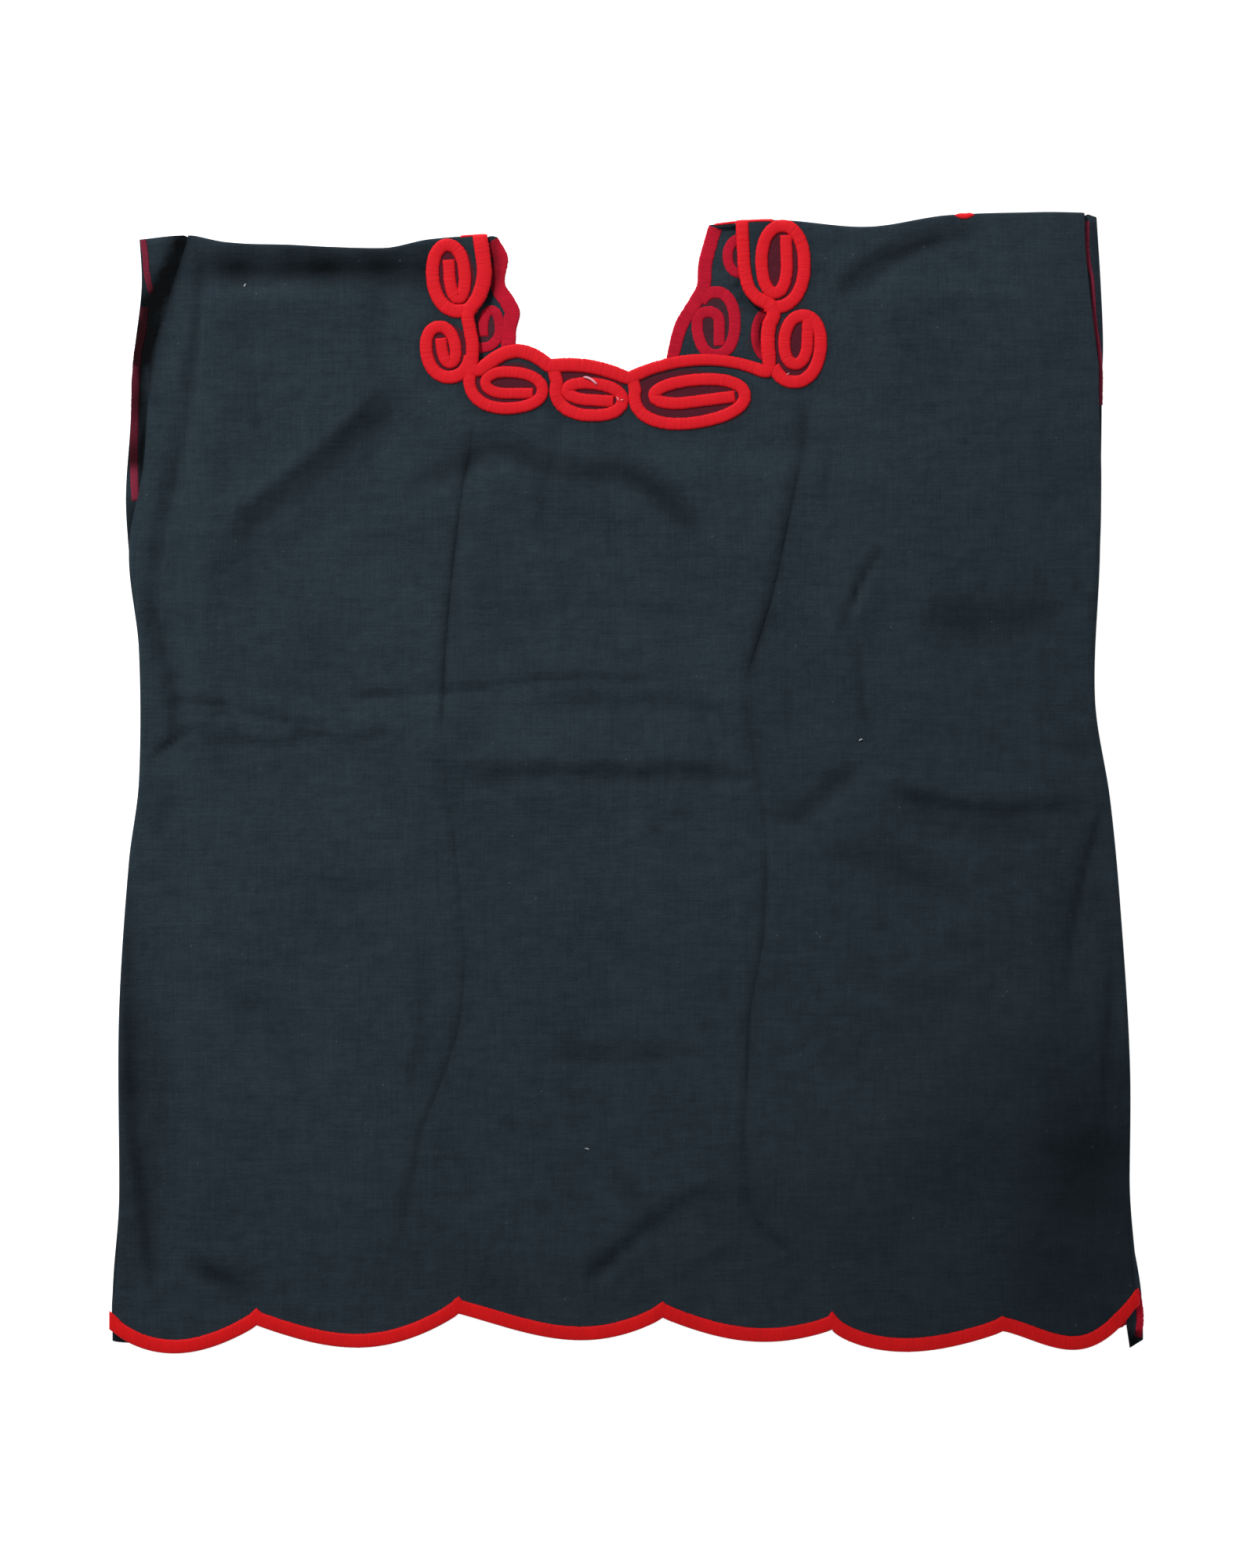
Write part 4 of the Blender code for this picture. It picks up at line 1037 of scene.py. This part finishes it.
def neck_edge(panel):
    """Edge of the neck from the left shoulder fold round to the right one."""
    (left, right), bays = panel.necks, panel.bays
    over = rest_height() / 2 * (0.95 * math.pi - 1.0) if panel is FRONT else -0.4
    y = np.linspace(float(read_shoulder(left[-1].x)) + over, left[0].y, 160)
    parts = [np.column_stack([read_edge(left, y), y])]
    x = np.linspace(bays[0].x, bays[-1].x, 320)
    parts.append(np.column_stack([x, read_scallops(bays, x)]))
    y = np.linspace(right[0].y, float(read_shoulder(right[-1].x)) + over, 160)
    parts.append(np.column_stack([read_edge(right, y), y]))
    line = np.concatenate(parts)
    marks = np.concatenate(([0.0], np.cumsum(np.hypot(*(line[1:] - line[:-1]).T))))
    at = np.linspace(0.0, marks[-1], int(marks[-1] / 0.6))
    return np.column_stack([np.interp(at, marks, line[:, k]) for k in (0, 1)]), at


def line_inside(edge, widths, beyond):
    """Two edges of a line along the cloth's edge; its stitches fan out round the corners."""
    ahead = np.gradient(edge, axis=0)
    ahead /= np.hypot(*ahead.T)[:, None]
    soft = [np.convolve(np.pad(ahead[:, k], 4, mode="edge"), np.full(9, 1 / 9), mode="valid")
            for k in (0, 1)]
    soft /= np.hypot(*soft)
    inwards = np.column_stack([soft[1], -soft[0]])
    return edge + inwards * widths[:, None], edge - inwards * beyond


def red_ends(scrolls, x, y):
    """How much of the cloth's colour red thread ends take over, near the scrolls."""
    share = np.zeros(np.shape(x))
    for scroll in scrolls:
        line = scroll_line(scroll)
        low, high = line.min(axis=0), line.max(axis=0)
        middle, half = (low + high) / 2, (high - low) / 2
        beyond = ((x - middle[0]) / half[0]) ** 2 + ((y - middle[1]) / half[1]) ** 2
        share = np.maximum(share, soft_step((1.25 - beyond) / 0.35))
    return share


class TOP_OT_front(bpy.types.Operator):
    """Front of the top, from the hem up and over the shoulder folds"""

    bl_idname = "top.front"
    bl_label = "Front"

    def execute(self, context):
        cloth = context.scene.top_cloth
        columns = column_marks(*FRONT_STEPS)
        upper, lower = (np.linspace(0.0, 1.0, count) for count in FRONT_ROWS)
        plan, cells = panel_plan(FRONT, columns, upper ** ROW_CROWDING, lower)
        place, out = on_front(plan, cloth)
        over = np.linspace(math.pi, 0.0, WRAP_ROWS + 1)[:-1]
        radius = place[:, 0, 2] / 2
        wrap = np.stack([
            np.repeat(place[:, 0, 0][:, None], len(over), axis=1),
            place[:, 0, 1][:, None] + radius[:, None] * np.sin(over),
            radius[:, None] * (1.0 + np.cos(over))], axis=-1)
        points = np.concatenate([wrap, place], axis=1)
        shoulder = np.repeat(cells[:, :1], len(over), axis=1)
        cells = np.concatenate([shoulder, cells], axis=1)
        x, y = points[..., 0], points[..., 1]
        # Painted shade on the front: its colour is darkened in the troughs of the creases and
        # along the painted shade folds
        shade = -cloth.pressed_painted_shade * crease_relief(
            [c for c in CREASES if c.form == "pressed"], x, y)
        shade -= cloth.crease_painted_shade * crease_relief(
            [c for c in CREASES if c.form == "soft"], x, y)
        # Painted shadow beside the scrolls' stitches: the cloth's colour is darkened along each
        # scroll line
        stitched = [Crease("soft", 0.4, 6.0, 1, scroll_line(s)) for s in FRONT_SCROLLS]
        shade = shade.clip(0.0) + crease_relief(FRONT_SHADES, x, y)
        shade = 1.0 - (1.0 - shade.clip(0.0, 1.0)) * (
            1.0 - crease_relief(stitched, x, y).clip(0.0, 0.5))
        thing = make_mesh("front_cloth", points.reshape(-1, 3),
                          grid_faces(points.shape[1], cells), shade=shade,
                          red_fuzz=red_ends(FRONT_SCROLLS, x, y))
        thicken(thing, cloth.thickness)
        dress(thing, cotton_paint(cloth), ["body_cloth"])
        return {"FINISHED"}


class TOP_OT_back(bpy.types.Operator):
    """Back of the top, which lies on the surface"""

    bl_idname = "top.back"
    bl_label = "Back"

    def execute(self, context):
        cloth = context.scene.top_cloth
        columns = column_marks(*BACK_STEPS)
        plan, cells = panel_plan(
            BACK, columns, *(np.linspace(0.0, 1.0, count) for count in BACK_ROWS))
        height = back_under(plan[..., 0], plan[..., 1], cloth)
        points = np.concatenate([plan, height[..., None]], axis=-1)
        # The back's shade mark is painted shade, taken from BACK_SHADES
        thing = make_mesh("back_cloth", points.reshape(-1, 3),
                          grid_faces(plan.shape[1], cells, turned=True),
                          shade=crease_relief(BACK_SHADES, plan[..., 0], plan[..., 1]),
                          red_fuzz=0.6 * red_ends(BACK_SCROLLS, plan[..., 0], plan[..., 1]))
        thicken(thing, cloth.thickness)
        dress(thing, cotton_paint(cloth), ["body_cloth"])
        return {"FINISHED"}


def embroider(panel, widths, beyond, scrolls, prefix, names, seeds, thread, heights,
              surface, neck_finish, shades):
    """Line round the neck of a panel and the scrolls that hang on it."""
    edge, at = neck_edge(panel)
    edges = line_inside(edge, np.interp(at, *np.array(widths, float).T), beyond)
    thing = satin_strip(names[0], *edges, surface, heights[0], seeds[0], shades=shades,
                        **neck_finish)
    dress(thing, thread_paint(thread), names[1:])
    for number, scroll in enumerate(scrolls):
        line = scroll_line(scroll)
        edges = edges_beside(line, np.linspace(scroll.wide, scroll.narrow, len(line)))
        thing = satin_strip(prefix + scroll.name, *edges, surface, heights[1],
                            seeds[1] + number, shades=shades)
        dress(thing, thread_paint(thread), [scroll.name])


class TOP_OT_neck_embroidery(bpy.types.Operator):
    """Satin-stitched line round the neck with its seven scrolls"""

    bl_idname = "top.neck_embroidery"
    bl_label = "Neck Embroidery"

    def execute(self, context):
        cloth, stitching = context.scene.top_cloth, context.scene.top_stitching
        embroider(FRONT, NECK_WIDTHS, 0.4, FRONT_SCROLLS, "satin_",
                  ["neck_line", "front_neck_line"], (11, 20), SATIN,
                  (stitching.neck_height / MM, stitching.height / MM),
                  lambda points: on_front(points, cloth),
                  {"skirt": 0.75, "end_height": 0.45}, ())
        return {"FINISHED"}


class TOP_OT_back_embroidery(bpy.types.Operator):
    """Wrong side of the back's stitching, seen through the neck"""

    bl_idname = "top.back_embroidery"
    bl_label = "Back Embroidery"

    def execute(self, context):
        cloth, height = context.scene.top_cloth, context.scene.top_stitching.wrong_height / MM
        embroider(BACK, BACK_NECK_WIDTHS, 0.3, BACK_SCROLLS, "wrong_side_",
                  ["wrong_side_neck_line", "back_neck_line"], (51, 60), WRONG_SIDE,
                  (height, height), lambda points: on_back(points, cloth),
                  {}, BACK_SHADES)
        return {"FINISHED"}


class TOP_OT_hem_bands(bpy.types.Operator):
    """Satin-stitched bands along the scalloped hem, front and back"""

    bl_idname = "top.hem_bands"
    bl_label = "Hem Bands"

    def execute(self, context):
        cloth, stitching = context.scene.top_cloth, context.scene.top_stitching
        width = stitching.band_width / MM
        for name, panel, ends, seed, place, height, skirt, thread, slot, node in (
                ("hem_band", FRONT, (0.0, COLUMNS), 71, on_front, stitching.height, 0.6,
                 HEM_THREAD, "hem_thread", "front_hem_band"),
                ("wrong_side_hem_band", BACK, BACK_BAND, 70, on_back, stitching.wrong_height,
                 0.3, WRONG_SIDE, "wrong_side_thread", "back_hem_band")):
            columns = np.linspace(*ends, 10 * COLUMNS + 1)
            x = column_x(panel.hem, panel.hem_columns, columns)
            y = read_scallops(panel.hem, x)
            slope = np.abs(np.diff(y) / np.diff(x))
            steep = np.maximum(np.append(slope, slope[-1]), np.append(slope[0], slope))
            x += PAST_SIDES * ((columns == COLUMNS) * 1.0 - (columns == 0.0))
            top = y + width * np.sqrt(1.0 + np.minimum(steep, STEEPEST) ** 2)
            thing = satin_strip(name, np.column_stack([x, y]), np.column_stack([x, top]),
                                lambda p: place(p, cloth), height / MM, seed, skirt=skirt)
            dress(thing, thread_paint(thread), [node])
        return {"FINISHED"}


class TOP_OT_armhole_stitches(bpy.types.Operator):
    """Crimson stitching on the inner side of the back beside the armholes"""

    bl_idname = "top.armhole_stitches"
    bl_label = "Armhole Stitches"

    def execute(self, context):
        cloth = context.scene.top_cloth
        for lines, step, seed, place, shades, slot in (
                (ARMHOLE_LINES, 1.0, 80, on_back, BACK_SHADES, "wrong_side_thread"),
                (FOLD_LINES, 0.5, 90, on_front, (), "satin_thread")):
            for number, row in enumerate(lines):
                line = smooth_path(row.path, step)
                edges = edges_beside(line, np.full(len(line), row.width))
                thing = satin_strip(row.name, *edges, lambda p: place(p, cloth), row.height,
                                    seed + number, shades=shades)
                dress(thing, thread_paint(row.thread), [])
        return {"FINISHED"}


class TOP_OT_loose_threads(bpy.types.Operator):
    """White thread left on the embroidery and lint on the cloth"""

    bl_idname = "top.loose_threads"
    bl_label = "Loose Threads"

    def execute(self, context):
        cloth = context.scene.top_cloth
        lift = context.scene.top_stitching.height / MM
        pale = fuzz_paint("white thread", (0.84, 0.42, 0.50))
        grey = fuzz_paint("grey lint", (0.42, 0.45, 0.47))
        for label, tufts, above, paint in (("stray_thread", STRAY_THREADS, lift, pale),
                                           ("lint", LINT, 0.1, grey)):
            for number, tuft in enumerate(tufts):
                turn = math.radians(tuft.turn)
                way = np.array([math.cos(turn), math.sin(turn)])
                shares = np.linspace(-0.5, 0.5, TUFT_POINTS)
                line = np.array([tuft.x, tuft.y]) + shares[:, None] * tuft.length * way
                line[:, 1] += 0.12 * tuft.length * np.cos(shares * math.pi)
                place, out = on_front(line, cloth)
                place = place + out * (above + tuft.radius * 0.7)
                angles = np.linspace(0.0, 2 * math.pi, TUFT_POINTS)
                side = np.array([-way[1], way[0], 0.0])
                taper = np.sqrt(np.clip(1.0 - (2.0 * shares) ** 6, 0.03, 1.0)) * tuft.radius
                ring = (np.cos(angles)[None, :, None] * side
                        + np.sin(angles)[None, :, None] * np.array([0.0, 0.0, 1.0]))
                points = (place[:, None] + ring * taper[:, None, None]).reshape(-1, 3)
                faces = grid_faces(TUFT_POINTS, np.ones((TUFT_POINTS - 1,) * 2, bool))
                thing = make_mesh(f"{label}_{number + 1}", points, faces)
                dress(thing, paint, [])
        return {"FINISHED"}


class TOP_OT_studio(bpy.types.Operator):
    """Pale floor, soft lamp and the camera straight above the top"""

    bl_idname = "top.studio"
    bl_label = "Studio"

    def execute(self, context):
        studio = context.scene.top_studio
        bpy.ops.object.select_all(action="DESELECT")
        bpy.ops.mesh.primitive_plane_add(size=FLOOR_SIZE, location=(0.0, 0.0, FLOOR_LEVEL))
        floor = context.object
        floor.name = "floor"
        paint = Paint("pale floor")
        grain = paint.noise(paint.place((1.0, 1.0, 1.0)), 30.0, 2.0, 0.5)
        paint.finish(Base_Color=paint.mix(grain, (0.88, 0.88, 0.88), (0.90, 0.90, 0.90)),
                     Roughness=0.9, Specular_IOR_Level=0.1,
                     Emission_Color=(1.0, 1.0, 1.0, 1.0), Emission_Strength=studio.table_glow)
        floor.data.materials.append(paint.material)
        turn = (Vector(KEY_PLACE) - Vector(KEY_AIM)).to_track_quat("Z", "Y").to_euler()
        bpy.ops.object.light_add(type="SPOT", location=KEY_PLACE, rotation=turn)
        lamp = context.object
        lamp.name = "key"
        lamp.data.energy = studio.key_power
        lamp.data.shadow_soft_size = studio.key_size
        lamp.data.spot_size = studio.key_angle
        lamp.data.spot_blend = SPOT_BLEND
        world = bpy.data.worlds.new("white room")
        world.use_nodes = True
        backdrop = world.node_tree.nodes["Background"]
        backdrop.inputs["Color"].default_value = (1.0, 1.0, 1.0, 1.0)
        backdrop.inputs["Strength"].default_value = studio.surround
        context.scene.world = world
        context.scene.view_settings.view_transform = "Standard"
        distance = studio.picture_height * studio.lens / FILM_WIDTH
        bpy.ops.object.camera_add(location=(*CAMERA_PLACE, distance + TOP_LEVEL),
                                  rotation=(0.0, 0.0, 0.0))
        camera = context.object
        camera.data.lens = studio.lens
        camera.data.clip_end = CAMERA_RANGE
        context.scene.camera = camera
        return {"FINISHED"}


OPERATORS = (TOP_OT_front, TOP_OT_back, TOP_OT_neck_embroidery, TOP_OT_back_embroidery,
             TOP_OT_hem_bands, TOP_OT_armhole_stitches, TOP_OT_loose_threads, TOP_OT_studio)


class TOP_PT_panel(bpy.types.Panel):
    """Sizes, finishes and steps of the embroidered top"""

    bl_label = "Embroidered Top"
    bl_idname = "TOP_PT_panel"
    bl_space_type = "VIEW_3D"
    bl_region_type = "UI"
    bl_category = "Embroidered Top"

    def draw(self, context):
        for group in (context.scene.top_cloth, context.scene.top_stitching,
                      context.scene.top_studio):
            box = self.layout.box()
            for name in group.bl_rna.properties.keys():
                if name not in ("rna_type", "name"):
                    box.prop(group, name)
        for operator in OPERATORS:
            self.layout.operator(operator.bl_idname)


GROUPS = (TopCloth, TopStitching, TopStudio)


def register():
    for cls in GROUPS + OPERATORS + (TOP_PT_panel,):
        bpy.utils.register_class(cls)
    bpy.types.Scene.top_cloth = bpy.props.PointerProperty(type=TopCloth)
    bpy.types.Scene.top_stitching = bpy.props.PointerProperty(type=TopStitching)
    bpy.types.Scene.top_studio = bpy.props.PointerProperty(type=TopStudio)


def unregister():
    del bpy.types.Scene.top_studio
    del bpy.types.Scene.top_stitching
    del bpy.types.Scene.top_cloth
    for cls in reversed(GROUPS + OPERATORS + (TOP_PT_panel,)):
        bpy.utils.unregister_class(cls)


def main():
    """Build the whole scene."""
    register()
    bpy.ops.top.back()
    bpy.ops.top.front()
    bpy.ops.top.neck_embroidery()
    bpy.ops.top.back_embroidery()
    bpy.ops.top.hem_bands()
    bpy.ops.top.armhole_stitches()
    bpy.ops.top.loose_threads()
    bpy.ops.top.studio()
    bpy.context.view_layer.update()


if __name__ == "__main__":
    main()
